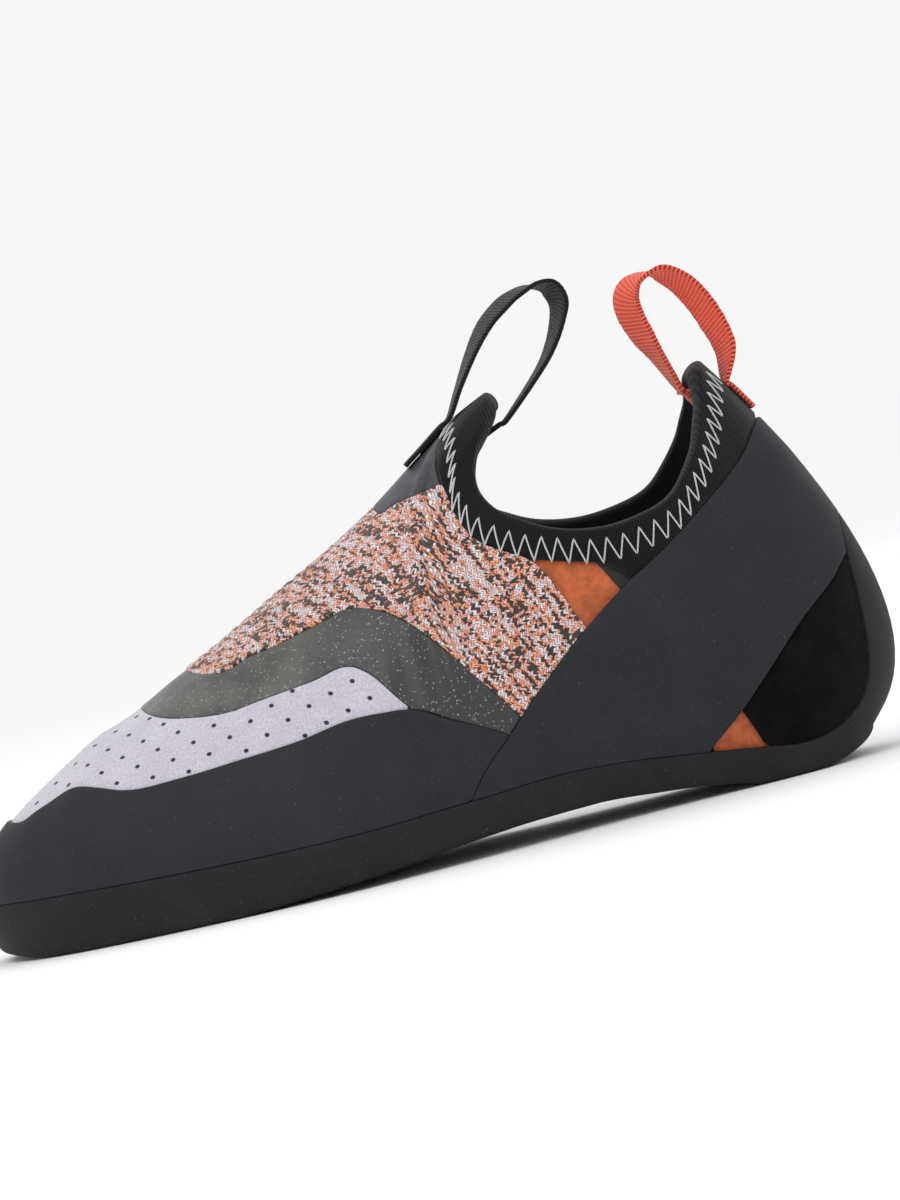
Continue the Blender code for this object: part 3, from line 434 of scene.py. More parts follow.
    @lru_cache(maxsize=None)
    def climb(self, edge: Edge, place: float, shift: float) -> float:
        """How far up the lateral rib at a place an edge crosses it, from 0 to 1."""
        line = self.line(edge, shift)
        path = self.points(-place, np.linspace(0.0, 1.0, self.samples))[:, [0, 2]]
        run, step = np.diff(path, axis=0), np.diff(line, axis=0)
        apart = line[None, :-1] - path[:-1, None]
        cross = run[:, None, 0] * step[None, :, 1] - run[:, None, 1] * step[None, :, 0]
        cross = np.where(np.abs(cross) < 1e-15, 1e-15, cross)
        on_path = (apart[..., 0] * step[None, :, 1] - apart[..., 1] * step[None, :, 0]) / cross
        on_edge = (apart[..., 0] * run[:, None, 1] - apart[..., 1] * run[:, None, 0]) / cross
        hits = np.argwhere((on_path >= 0.0) & (on_path <= 1.0) & (on_edge >= 0.0) & (on_edge <= 1.0))
        if len(hits):
            i, j = hits[-1]
            return float((i + on_path[i, j]) / (self.samples - 1))
        top = path[-1]
        along = np.clip(np.sum((top - line[:-1]) * step, axis=1) / np.sum(step * step, axis=1), 0.0, 1.0)
        nearest = line[:-1] + along[:, None] * step
        k = int(np.argmin(np.sum((top - nearest) ** 2, axis=1)))
        offset = top - line[k]
        return 0.0 if step[k, 0] * offset[1] - step[k, 1] * offset[0] > 0.0 else 1.0

    def above(self, *edges: Edge) -> Border:
        """Lower border of a piece that lies above all the edges."""
        half = 0.5 * self.sizes.seam_gap
        return lambda place: max(self.climb(edge, place, half) for edge in edges)

    def below(self, *edges: Edge) -> Border:
        """Upper border of a piece that lies below all the edges."""
        half = 0.5 * self.sizes.seam_gap
        return lambda place: min(self.climb(edge, place, -half) for edge in edges)

    def climb_to_height(self, u: float, depth: float, height: Callable[[float], float]) -> float:
        """How far up a rib a point below the skin reaches a height."""
        low, high = 0.0, 0.6
        for _ in range(22):
            middle = 0.5 * (low + high)
            point = self.under(u, np.array((middle,)), depth)[0]
            if point[2] < height(point[0]):
                low = middle
            else:
                high = middle
        return high

    def even_places(self, first: float, last: float, fixed: Sequence[float] = ()) -> list[float]:
        """Places between two ends, about one station step apart where a rib moves most."""
        fine = np.linspace(first, last, 240)
        grown = np.zeros(len(fine))
        for v in (0.0, 0.5, 1.0):
            path = np.array([self.points(-place, np.array((v,)))[0] for place in fine])
            steps = np.linalg.norm(np.diff(path, axis=0), axis=1)
            grown[1:] = np.maximum(grown[1:], np.cumsum(steps))
        count = max(int(grown[-1] / self.sizes.station_step), 4)
        even = np.interp(np.linspace(0.0, grown[-1], count), grown, fine)
        inside = [place for place in fixed if first < place < last]
        clear = [p for p in even if all(abs(p - other) > 0.0015 for other in inside)]
        return [float(place) for place in sorted({first, last, *clear, *inside})]

    def collar_back(self, place: float, distance: float) -> tuple[float, float]:
        """The place and climb a distance back from the collar."""
        if place == self.sizes.tab:
            tip = self.ridge.at(place)
            fine = np.linspace(place - 0.08, place, 161)
            apart = [np.linalg.norm(self.ridge.at(p) - tip) for p in fine]
            return float(np.interp(-distance, -np.array(apart), fine)), 1.0
        ends = self.points(-place, np.array((0.98, 1.0)))
        return place, 1.0 - 0.02 * distance / float(np.linalg.norm(ends[1] - ends[0]))


SKIN = Skin(SIZES)


def linear(colour: str) -> tuple[float, float, float, float]:
    """Turn an sRGB hex colour into linear values with full alpha."""
    parts = [int(colour[n:n + 2], 16) / 255.0 for n in (1, 3, 5)]
    values = [p / 12.92 if p <= 0.04045 else ((p + 0.055) / 1.055) ** 2.4 for p in parts]
    return (values[0], values[1], values[2], 1.0)


def add_node(tree: bpy.types.NodeTree, kind: str, settings: dict[str, Any] | None = None,
             **inputs: Any) -> bpy.types.Node:
    """Add a node with its settings and links.

    Args:
        tree: The node tree.
        kind: The node's class name without its ShaderNode start.
        settings: Properties of the node itself.
        inputs: Values or sockets, by input name with spaces as underscores, or iN for input N.

    Returns:
        The new node.
    """
    item = tree.nodes.new("ShaderNode" + kind)
    for name, value in (settings or {}).items():
        setattr(item, name, value)
    for name, value in inputs.items():
        key: Any = int(name[1:]) if name[0] == "i" and name[1:].isdigit() else name.replace("_", " ")
        if isinstance(value, bpy.types.NodeSocket):
            tree.links.new(value, item.inputs[key])
        else:
            item.inputs[key].default_value = value
    return item


class Step(Enum):
    """Steps of the patterns: node class, settings, inputs in order and number of the output."""

    ADD = ("Math", {"operation": "ADD"}, ("i0", "i1"), 0)
    SUBTRACT = ("Math", {"operation": "SUBTRACT"}, ("i0", "i1"), 0)
    MULTIPLY = ("Math", {"operation": "MULTIPLY"}, ("i0", "i1"), 0)
    DIVIDE = ("Math", {"operation": "DIVIDE"}, ("i0", "i1"), 0)
    POWER = ("Math", {"operation": "POWER"}, ("i0", "i1"), 0)
    SQRT = ("Math", {"operation": "SQRT"}, ("i0",), 0)
    ABSOLUTE = ("Math", {"operation": "ABSOLUTE"}, ("i0",), 0)
    FLOOR = ("Math", {"operation": "FLOOR"}, ("i0",), 0)
    PINGPONG = ("Math", {"operation": "PINGPONG"}, ("i0", "i1"), 0)
    MAXIMUM = ("Math", {"operation": "MAXIMUM"}, ("i0", "i1"), 0)
    LESS_THAN = ("Math", {"operation": "LESS_THAN"}, ("i0", "i1"), 0)
    GREATER_THAN = ("Math", {"operation": "GREATER_THAN"}, ("i0", "i1"), 0)
    SPAN = ("MapRange", {}, ("Value", "From_Min", "From_Max", "To_Min", "To_Max"), 0)
    NOISE = ("TexNoise", {}, ("Vector", "Scale", "Detail", "Roughness"), 0)
    BLEND = ("Mix", {"data_type": "RGBA"}, ("i0", "i6", "i7"), 2)
    TINT = ("Mix", {"data_type": "RGBA", "blend_type": "MULTIPLY"}, ("i0", "i6", "i7"), 2)


def add_step(tree: bpy.types.NodeTree, step: Step, *values: Any) -> bpy.types.NodeSocket:
    """Add one step of a pattern with its inputs in order, and return its output."""
    kind, settings, names, output = step.value
    return add_node(tree, kind, settings, **dict(zip(names, values))).outputs[output]


@dataclass(frozen=True)
class Finish:
    """What every finish has: a name, a base colour, a roughness, a specular level and an index of
    refraction.
    """

    name: str
    colour: str
    roughness: float = 0.6
    specular: float = 0.5
    ior: float = 1.5

    def material(self) -> bpy.types.Material:
        """Build the finish once and return its material."""
        found = bpy.data.materials.get(self.name)
        if found:
            return found
        item = bpy.data.materials.new(self.name)
        item.use_nodes = True
        item.diffuse_color = linear(self.colour)
        tree = item.node_tree
        shader = tree.nodes["Principled BSDF"]
        shader.inputs["Base Color"].default_value = linear(self.colour)
        shader.inputs["Roughness"].default_value = self.roughness
        shader.inputs["Specular IOR Level"].default_value = self.specular
        shader.inputs["IOR"].default_value = self.ior
        self.dress(tree, shader)
        return item

    def dress(self, tree: bpy.types.NodeTree, shader: bpy.types.Node) -> None:
        """Add the finish's own pattern."""

    def place(self, tree: bpy.types.NodeTree, pattern: bool = False) -> bpy.types.NodeSocket:
        """Coordinates in millimetres, in the object's space or flat along the skin."""
        if pattern:
            return add_node(tree, "UVMap", {"uv_map": "developed"}).outputs["UV"]
        coordinates = add_node(tree, "TexCoord").outputs["Object"]
        return add_node(tree, "VectorMath", {"operation": "SCALE"}, i0=coordinates, Scale=1000.0).outputs[0]

    def paint(self, tree: bpy.types.NodeTree, shader: bpy.types.Node, colour: Any) -> None:
        """Give the shader its colour."""
        tree.links.new(colour, shader.inputs["Base Color"])

    def wave(self, tree: bpy.types.NodeTree, value: Any, period: float) -> bpy.types.NodeSocket:
        """A value that rises from 0 to 1 and falls back once in a period."""
        half = 0.5 * period
        return add_step(tree, Step.SPAN, add_step(tree, Step.PINGPONG, value, half), 0.0, half)

    def emboss(self, tree: bpy.types.NodeTree, shader: bpy.types.Node, height: bpy.types.NodeSocket,
               depth_mm: float, before: bpy.types.NodeSocket | None = None) -> bpy.types.NodeSocket:
        """Raise the surface by a height of 0 to 1 times a depth."""
        inputs = {"Height": height, "Distance": depth_mm * MM, "Strength": 1.0}
        if before is not None:
            inputs["Normal"] = before
        normal = add_node(tree, "Bump", None, **inputs).outputs["Normal"]
        tree.links.new(normal, shader.inputs["Normal"])
        return normal


@dataclass(frozen=True)
class MouldedRubber(Finish):
    """Climbing rubber, calendered and buffed: blue-black, satin, with dust and faint rub marks."""

    dust: str = "#4A4C50"
    grain_mm: float = 0.35
    cloud_mm: float = 16.0

    def dress(self, tree: bpy.types.NodeTree, shader: bpy.types.Node) -> None:
        """Clouds of bloom, dust in specks and a fine buffed grain."""
        place = self.place(tree)
        cloud = add_step(tree, Step.NOISE, place, 1.0 / self.cloud_mm, 4.0, 0.55)
        fine = add_step(tree, Step.NOISE, place, 1.0 / self.grain_mm, 2.0, 0.55)
        bloom = add_step(tree, Step.SPAN, cloud, 0.4, 0.75, 0.0, 0.3)
        base = add_step(tree, Step.BLEND, bloom, linear(self.colour), linear(self.dust))
        stretch = add_node(tree, "Mapping", None, Vector=place, Scale=(0.35, 1.0, 1.6),
                           Rotation=(0.0, 0.5, 0.0)).outputs[0]
        streak = add_step(tree, Step.NOISE, stretch, 1.0 / 1.6, 5.0, 0.7)
        rub = add_step(tree, Step.SPAN, add_step(tree, Step.MULTIPLY, streak, cloud), 0.33, 0.5, 0.0, 0.35)
        worn = add_step(tree, Step.BLEND, rub, base, linear(self.dust))
        speck = add_step(tree, Step.NOISE, place, 1.0 / 0.55, 1.0, 0.55)
        dusty = add_step(tree, Step.SPAN, speck, 0.7, 0.8, 0.0, 0.22)
        self.paint(tree, shader, add_step(tree, Step.BLEND, dusty, worn, linear("#8A8C90")))
        rough = add_step(tree, Step.SPAN, cloud, 0.3, 0.7, self.roughness - 0.06, self.roughness + 0.08)
        tree.links.new(rough, shader.inputs["Roughness"])
        first = self.emboss(tree, shader, fine, 0.035)
        self.emboss(tree, shader, cloud, 0.25, first)


@dataclass(frozen=True)
class PerforatedMicrofibre(Finish):
    """Brushed microfibre, punched: pale lilac grey, matt, with a mottled nap and black holes."""

    nap: str = "#AFAAB5"
    shade: str = "#9F9AA8"
    hole: str = "#141416"
    pitch_mm: float = 9.4
    row_mm: float = 4.35
    hole_mm: float = 0.58
    slope: float = -13.8
    brow_mm: float = 31.0
    tip_mm: float = 30.0

    def dress(self, tree: bpy.types.NodeTree, shader: bpy.types.Node) -> None:
        """Nap in two sizes, and holes in staggered rows."""
        place = self.place(tree, True)
        body = self.place(tree)
        fleck = add_step(tree, Step.NOISE, body, 1.0 / 0.5, 3.0, 0.7)
        cloud = add_step(tree, Step.NOISE, body, 1.0 / 9.0, 2.0, 0.55)
        mottle = add_step(tree, Step.SPAN, fleck, 0.42, 0.62)
        base = add_step(tree, Step.BLEND, mottle, linear(self.colour), linear(self.nap))
        shadow = add_step(tree, Step.SPAN, cloud, 0.35, 0.7, 0.0, 0.25)
        base = add_step(tree, Step.BLEND, shadow, base, linear(self.shade))
        turn = (0.0, 0.0, math.radians(-self.slope))
        turned = add_node(tree, "Mapping", None, Vector=place, Rotation=turn).outputs[0]
        split = add_node(tree, "SeparateXYZ", None, Vector=turned)
        row = add_step(tree, Step.FLOOR, add_step(tree, Step.DIVIDE, split.outputs[1], self.row_mm))
        shift = add_step(tree, Step.MULTIPLY, row, 0.46 * self.pitch_mm)
        moved = add_step(tree, Step.ADD, split.outputs[0], shift)
        across = add_step(tree, Step.PINGPONG, moved, 0.5 * self.pitch_mm)
        up = add_step(tree, Step.PINGPONG, split.outputs[1], 0.5 * self.row_mm)
        rise = add_step(tree, Step.SUBTRACT, 0.5 * self.row_mm, up)
        square = add_step(tree, Step.POWER, across, 2.0)
        squares = add_step(tree, Step.ADD, square, add_step(tree, Step.POWER, rise, 2.0))
        away = add_step(tree, Step.SQRT, squares)
        holed = add_step(tree, Step.SPAN, away, self.hole_mm - 0.08, self.hole_mm + 0.1)
        flat = add_node(tree, "SeparateXYZ", None, Vector=place)
        brow = add_step(tree, Step.MULTIPLY, flat.outputs[0], 0.4)
        over = add_step(tree, Step.SUBTRACT, flat.outputs[1], brow)
        brim = add_step(tree, Step.GREATER_THAN, over, self.brow_mm)
        tip = add_step(tree, Step.LESS_THAN, flat.outputs[0], self.tip_mm)
        bald = add_step(tree, Step.MULTIPLY, brim, tip)
        solid = add_step(tree, Step.MAXIMUM, holed, bald)
        self.paint(tree, shader, add_step(tree, Step.BLEND, solid, linear(self.hole), base))
        first = self.emboss(tree, shader, solid, 0.35)
        self.emboss(tree, shader, fleck, 0.05, first)
        shader.inputs["Sheen Weight"].default_value = 0.25
        shader.inputs["Sheen Roughness"].default_value = 0.5


@dataclass(frozen=True)
class PressedFilm(Finish):
    """Thermoplastic film pressed on mesh: smoky grey, half glossy, with glitter flakes painted pale as
    glints, and soft dots.
    """

    light: str = "#5E605C"
    # Painted glint: the pale colour given to the glitter flakes to stand in for their sparkle
    glitter: str = "#C9C6B4"
    dot_mm: float = 2.6
    dots_at_mm: float = 101.0

    def dress(self, tree: bpy.types.NodeTree, shader: bpy.types.Node) -> None:
        """Smoke, glitter flakes with painted glints, and the emboss of the mesh below."""
        place = self.place(tree, True)
        body = self.place(tree)
        cloud = add_step(tree, Step.NOISE, body, 1.0 / 14.0, 3.0, 0.55)
        split = add_node(tree, "SeparateXYZ", None, Vector=place)
        paler = add_step(tree, Step.SPAN, split.outputs[0], 122.0, 84.0, 0.0, 0.9)
        drift = add_step(tree, Step.SPAN, cloud, 0.35, 0.62, 0.3, 1.0)
        smoke = add_step(tree, Step.MULTIPLY, paler, drift)
        base = add_step(tree, Step.BLEND, smoke, linear(self.colour), linear(self.light))
        # Glitter: the flakes are real, but their pale colour is a painted glint
        cells = add_node(tree, "TexVoronoi", None, Vector=body, Scale=1.0 / 0.55)
        spark = add_node(tree, "SeparateXYZ", None, Vector=cells.outputs["Color"]).outputs[0]
        near = add_step(tree, Step.SPAN, cells.outputs["Distance"], 0.45, 0.15)
        glint_share = add_step(tree, Step.MULTIPLY, add_step(tree, Step.SPAN, spark, 0.80, 0.95, 0.0, 0.7), near)
        colour = add_step(tree, Step.BLEND, glint_share, base, linear(self.glitter))
        self.paint(tree, shader, colour)
        gloss = add_step(tree, Step.SPAN, glint_share, 0.0, 0.5, self.roughness, 0.22)
        tree.links.new(gloss, shader.inputs["Roughness"])
        dots = add_node(tree, "TexVoronoi", None, Vector=place, Scale=1.0 / self.dot_mm, Randomness=0.15)
        domes = add_step(tree, Step.SPAN, dots.outputs["Distance"], 0.42, 0.1)
        off = add_step(tree, Step.SUBTRACT, split.outputs[0], self.dots_at_mm)
        fade = add_step(tree, Step.SPAN, add_step(tree, Step.ABSOLUTE, off), 20.0, 7.0)
        middle = add_step(tree, Step.MULTIPLY, domes, fade)
        first = self.emboss(tree, shader, middle, 0.16)
        second = self.emboss(tree, shader, cloud, 0.7, first)
        self.emboss(tree, shader, spark, 0.02, second)
        shader.inputs["Coat Weight"].default_value = 0.25
        shader.inputs["Coat Roughness"].default_value = 0.35


@dataclass(frozen=True)
class MarlKnit(Finish):
    """Weft knit of three marled yarns: coral, lilac and brown-black stitches in ragged courses."""

    stitch_mm: float = 1.5
    course_mm: float = 0.85
    course_angle: float = 62.8
    flush: str = "#F4935F"
    # Painted shade: the colour that the hollows between the yarns are darkened towards
    hollow: str = "#5A4844"
    yarns: tuple[tuple[float, str], ...] = (
        (0.0, "#221B1A"), (0.30, "#33241F"), (0.40, "#EE8F62"), (0.50, "#F4A27C"),
        (0.54, "#E7885C"), (0.57, "#DBD0D8"), (0.72, "#EAE2E6"),
    )

    def dress(self, tree: bpy.types.NodeTree, shader: bpy.types.Node) -> None:
        """Chevrons of yarn, coloured stitch by stitch with drifting bands, with painted shade in the
        hollows between the yarns.
        """
        place = self.place(tree, True)
        turn = (0.0, 0.0, math.radians(self.course_angle))
        turned = add_node(tree, "Mapping", None, Vector=place, Rotation=turn).outputs[0]
        wander = add_step(tree, Step.NOISE, place, 1.0 / 7.0, 1.0, 0.55)
        split = add_node(tree, "SeparateXYZ", None, Vector=turned)
        along = split.outputs[0]
        drift = add_step(tree, Step.SPAN, wander, 0.3, 0.7, -0.7, 0.7)
        zigzag = add_step(tree, Step.PINGPONG, along, 0.5 * self.stitch_mm)
        lean = add_step(tree, Step.MULTIPLY, zigzag, 0.95)
        across = add_step(tree, Step.ADD, add_step(tree, Step.ADD, split.outputs[1], drift), lean)
        course = add_step(tree, Step.FLOOR, add_step(tree, Step.DIVIDE, across, self.course_mm))
        half = add_step(tree, Step.FLOOR, add_step(tree, Step.DIVIDE, along, 0.5 * self.stitch_mm))
        pair = add_step(tree, Step.FLOOR, add_step(tree, Step.DIVIDE, along, self.stitch_mm))
        cell = add_node(tree, "CombineXYZ", None, X=half, Y=course).outputs[0]
        whole = add_node(tree, "CombineXYZ", None, X=pair, Y=course).outputs[0]
        one = add_node(tree, "TexWhiteNoise", {"noise_dimensions": "2D"}, Vector=cell).outputs["Value"]
        two = add_node(tree, "TexWhiteNoise", {"noise_dimensions": "2D"}, Vector=whole).outputs["Value"]
        stretched = add_node(tree, "Mapping", None, Vector=turned, Scale=(0.085, 0.62, 1.0)).outputs[0]
        band = add_step(tree, Step.NOISE, stretched, 1.0 / 1.0, 2.0, 0.55)
        second = add_node(tree, "Mapping", None, Vector=stretched, Location=(13.0, 7.0, 0.0)).outputs[0]
        other = add_step(tree, Step.NOISE, second, 1.0 / 1.2, 2.0, 0.55)
        single = add_step(tree, Step.MULTIPLY, one, 0.42)
        mixed = add_step(tree, Step.ADD, single, add_step(tree, Step.MULTIPLY, two, 0.34))
        choice = add_step(tree, Step.ADD, mixed, add_step(tree, Step.SPAN, band, 0.33, 0.67, -0.08, 0.32))
        picker = add_node(tree, "ValToRGB", None, Fac=choice)
        ramp = picker.color_ramp
        ramp.interpolation = "CONSTANT"
        while len(ramp.elements) < len(self.yarns):
            ramp.elements.new(0.5)
        for element, (position, colour) in zip(ramp.elements, self.yarns):
            element.position = position
            element.color = linear(colour)
        colours = picker.outputs["Color"]
        pale = add_step(tree, Step.GREATER_THAN, choice, 0.42)
        coral = add_step(tree, Step.MULTIPLY, add_step(tree, Step.SPAN, other, 0.58, 0.66), pale)
        flush = add_step(tree, Step.MULTIPLY, coral, 0.7)
        colours = add_step(tree, Step.BLEND, flush, colours, linear(self.flush))
        # Painted shade: each yarn's colour is multiplied darker towards the hollow colour where it dips
        # between courses and stitches
        yarn = self.wave(tree, across, self.course_mm)
        limb = self.wave(tree, along, 0.5 * self.stitch_mm)
        loop = add_step(tree, Step.MULTIPLY, yarn, add_step(tree, Step.SPAN, limb, 0.0, 0.5, 0.35, 1.0))
        round_yarn = add_step(tree, Step.POWER, loop, 0.5)
        lit = add_step(tree, Step.SPAN, round_yarn, 0.15, 0.6)
        shade = add_step(tree, Step.BLEND, lit, linear(self.hollow), linear("#FFFFFF"))
        self.paint(tree, shader, add_step(tree, Step.TINT, 1.0, colours, shade))
        self.emboss(tree, shader, round_yarn, 0.32)
        shader.inputs["Sheen Weight"].default_value = 0.3
        shader.inputs["Sheen Roughness"].default_value = 0.6


@dataclass(frozen=True)
class FilmedMicrofibre(Finish):
    """Orange microfibre under a clear film: burnt orange, mottled, satin. Elsewhere black fabric."""

    deep: str = "#9C4A1E"
    black: str = "#121212"
    front_mm: float = 140.0
    window_mm: float = 207.0
    heel_mm: float = 180.0

    def dress(self, tree: bpy.types.NodeTree, shader: bpy.types.Node) -> None:
        """Mottled orange in the two windows and black twill outside them."""
        body = self.place(tree)
        place = self.place(tree, True)
        split = add_node(tree, "SeparateXYZ", None, Vector=place)
        along, height = split.outputs[0], split.outputs[1]
        cloud = add_step(tree, Step.NOISE, body, 1.0 / 3.4, 5.0, 0.65)
        fine = add_step(tree, Step.NOISE, body, 1.0 / 0.45, 2.0, 0.55)
        mottle = add_step(tree, Step.SPAN, cloud, 0.35, 0.65)
        orange = add_step(tree, Step.BLEND, mottle, linear(self.colour), linear(self.deep))
        lean = add_step(tree, Step.ADD, along, add_step(tree, Step.MULTIPLY, height, 0.55))
        window = add_step(tree, Step.LESS_THAN, lean, self.window_mm)
        heel = add_step(tree, Step.GREATER_THAN, along, self.heel_mm)
        shown = add_step(tree, Step.MAXIMUM, window, heel)
        front = add_step(tree, Step.GREATER_THAN, along, self.front_mm)
        share = add_step(tree, Step.MULTIPLY, shown, front)
        colour = add_step(tree, Step.BLEND, share, linear(self.black), orange)
        self.paint(tree, shader, colour)
        first = self.emboss(tree, shader, fine, 0.03)
        self.emboss(tree, shader, cloud, 0.3, first)
        shader.inputs["Coat Weight"].default_value = 0.15
        shader.inputs["Coat Roughness"].default_value = 0.4


@dataclass(frozen=True)
class NappedLeather(Finish):
    """Suede, buffed to a nap: deep black that drinks the light, paler where the nap is stroked."""

    stroked: str = "#1B1B1B"

    def dress(self, tree: bpy.types.NodeTree, shader: bpy.types.Node) -> None:
        """Stroked patches over a soft nap."""
        body = self.place(tree)
        patch = add_step(tree, Step.NOISE, body, 1.0 / 7.0, 4.0, 0.65)
        nap = add_step(tree, Step.NOISE, body, 1.0 / 0.4, 3.0, 0.8)
        stroke = add_step(tree, Step.SPAN, patch, 0.4, 0.7)
        share = add_step(tree, Step.MULTIPLY, stroke, add_step(tree, Step.SPAN, nap, 0.4, 0.65))
        colour = add_step(tree, Step.BLEND, share, linear(self.colour), linear(self.stroked))
        self.paint(tree, shader, colour)
        self.emboss(tree, shader, nap, 0.14)
        shader.inputs["Sheen Weight"].default_value = 0.12
        shader.inputs["Sheen Roughness"].default_value = 0.4


@dataclass(frozen=True)
class JerseyBinding(Finish):
    """Jersey-faced neoprene, folded: black, matt, with fine ribs that cross the fold."""

    rib_mm: float = 0.75
    loop_mm: float = 0.6
    # Painted highlight: the lighter colour that the crowns of the ribs are painted
    thread: str = "#202123"
    lint: str = "#5A5B5D"

    def dress(self, tree: bpy.types.NodeTree, shader: bpy.types.Node) -> None:
        """Fine ribs, broken stitch by stitch, with a painted highlight on the crown of each rib."""
        place = self.place(tree, True)
        body = self.place(tree)
        split = add_node(tree, "SeparateXYZ", None, Vector=place)
        rib = self.wave(tree, split.outputs[0], self.rib_mm)
        loop = self.wave(tree, split.outputs[1], self.loop_mm)
        yarn = add_step(tree, Step.MULTIPLY, rib, add_step(tree, Step.SPAN, loop, 0.0, 1.0, 0.4, 1.0))
        lint = add_step(tree, Step.NOISE, body, 1.0 / 0.8, 2.0, 0.55)
        # Painted highlight: the crowns of the ribs are painted towards the lighter thread colour, and the
        # gaps between them stay darker as painted shade
        share = add_step(tree, Step.MULTIPLY, yarn, 0.7)
        base = add_step(tree, Step.BLEND, share, linear(self.colour), linear(self.thread))
        speck = add_step(tree, Step.SPAN, lint, 0.68, 0.78, 0.0, 0.2)
        self.paint(tree, shader, add_step(tree, Step.BLEND, speck, base, linear(self.lint)))
        self.emboss(tree, shader, yarn, 0.16)
        shader.inputs["Sheen Weight"].default_value = 0.15
        shader.inputs["Sheen Roughness"].default_value = 0.5


@dataclass(frozen=True)
class WovenWebbing(Finish):
    """Polyester webbing, ribbed across: each weft rib has a painted highlight on its crown and painted
    shade in its valleys, edges are flecked.
    """

    # Painted shade: the colour of the valleys between the weft ribs
    valley_shade: str = "#0B0B0B"
    fleck: str = "#0B0B0B"
    rib_mm: float = 1.05
    warp_mm: float = 0.44

    def dress(self, tree: bpy.types.NodeTree, shader: bpy.types.Node) -> None:
        """Weft ribs with painted highlight and shade, the twill of the warp, and flecks along both edges.
        """
        place = self.place(tree, True)
        split = add_node(tree, "SeparateXYZ", None, Vector=place)
        along, wide = split.outputs[0], split.outputs[1]
        lean = add_step(tree, Step.ADD, along, add_step(tree, Step.MULTIPLY, wide, 0.25))
        rib = self.wave(tree, lean, self.rib_mm)
        warp = self.wave(tree, wide, self.warp_mm)
        yarn = add_step(tree, Step.MULTIPLY, rib, add_step(tree, Step.SPAN, warp, 0.0, 1.0, 0.7, 1.0))
        # Painted light and shade: each rib's crown takes the webbing's colour, its valleys the darker
        # painted shade
        crown = add_step(tree, Step.SPAN, yarn, 0.0, 0.6)
        base = add_step(tree, Step.BLEND, crown, linear(self.valley_shade), linear(self.colour))
        edge = add_step(tree, Step.SPAN, add_step(tree, Step.ABSOLUTE, wide), 4.1, 4.4)
        turn = add_step(tree, Step.PINGPONG, along, 0.5 * self.rib_mm)
        beat = add_step(tree, Step.LESS_THAN, turn, 0.2 * self.rib_mm)
        mark = add_step(tree, Step.MULTIPLY, edge, beat)
        self.paint(tree, shader, add_step(tree, Step.BLEND, mark, base, linear(self.fleck)))
        self.emboss(tree, shader, yarn, 0.3)
        shader.inputs["Sheen Weight"].default_value = 0.2


@dataclass(frozen=True)
class SmoothSynthetic(Finish):
    """Coated synthetic sheet, hot-pressed: slate grey, even, faintly pebbled, soft sheen."""

    def dress(self, tree: bpy.types.NodeTree, shader: bpy.types.Node) -> None:
        """Shallow pebble and a slow change of tone."""
        body = self.place(tree)
        cloud = add_step(tree, Step.NOISE, body, 1.0 / 12.0, 3.0, 0.55)
        pebble = add_step(tree, Step.NOISE, body, 1.0 / 0.6, 2.0, 0.55)
        share = add_step(tree, Step.SPAN, cloud, 0.35, 0.7)
        tone = add_step(tree, Step.BLEND, share, linear(self.colour), linear("#53545A"))
        self.paint(tree, shader, tone)
        first = self.emboss(tree, shader, pebble, 0.04)
        self.emboss(tree, shader, cloud, 0.3, first)


@dataclass(frozen=True)
class SpunThread(Finish):
    """Polyester sewing thread, twisted: pale grey, with the turns of its twist."""

    def dress(self, tree: bpy.types.NodeTree, shader: bpy.types.Node) -> None:
        """Turns of the twist."""
        body = self.place(tree)
        wave = add_node(tree, "TexWave", None, Vector=body, Scale=0.9, Distortion=1.0)
        tone = add_step(tree, Step.BLEND, wave.outputs["Fac"], linear("#9EA09F"), linear(self.colour))
        self.paint(tree, shader, tone)
        self.emboss(tree, shader, wave.outputs["Fac"], 0.06)


@dataclass(frozen=True)
class FootbedTextile(Finish):
    """Foam footbed faced with brushed textile: mid grey, woven, dulled where the foot rests."""

    thread_mm: float = 1.0

    def dress(self, tree: bpy.types.NodeTree, shader: bpy.types.Node) -> None:
        """A plain weave with worn patches."""
        body = self.place(tree)
        split = add_node(tree, "SeparateXYZ", None, Vector=body)
        ends = self.wave(tree, split.outputs[0], self.thread_mm)
        picks = self.wave(tree, split.outputs[1], self.thread_mm)
        weave = add_step(tree, Step.MULTIPLY, ends, picks)
        wear = add_step(tree, Step.NOISE, body, 1.0 / 20.0, 3.0, 0.55)
        worn = add_step(tree, Step.SPAN, wear, 0.35, 0.7)
        tone = add_step(tree, Step.BLEND, worn, linear(self.colour), linear("#3A3A3C"))
        lit = add_step(tree, Step.BLEND, add_step(tree, Step.MULTIPLY, weave, 0.4), tone, linear("#8A8A8C"))
        self.paint(tree, shader, lit)
        self.emboss(tree, shader, weave, 0.2)


@dataclass(frozen=True)
class StudioPaper(Finish):
    """Matt paper: white, with a breath of tone so that it isn't flat."""

    def dress(self, tree: bpy.types.NodeTree, shader: bpy.types.Node) -> None:
        """A slow change of tone."""
        cloud = add_step(tree, Step.NOISE, self.place(tree), 1.0 / 300.0, 2.0, 0.55)
        share = add_step(tree, Step.SPAN, cloud, 0.3, 0.7)
        tone = add_step(tree, Step.BLEND, share, linear(self.colour), linear("#FDFDFD"))
        self.paint(tree, shader, tone)


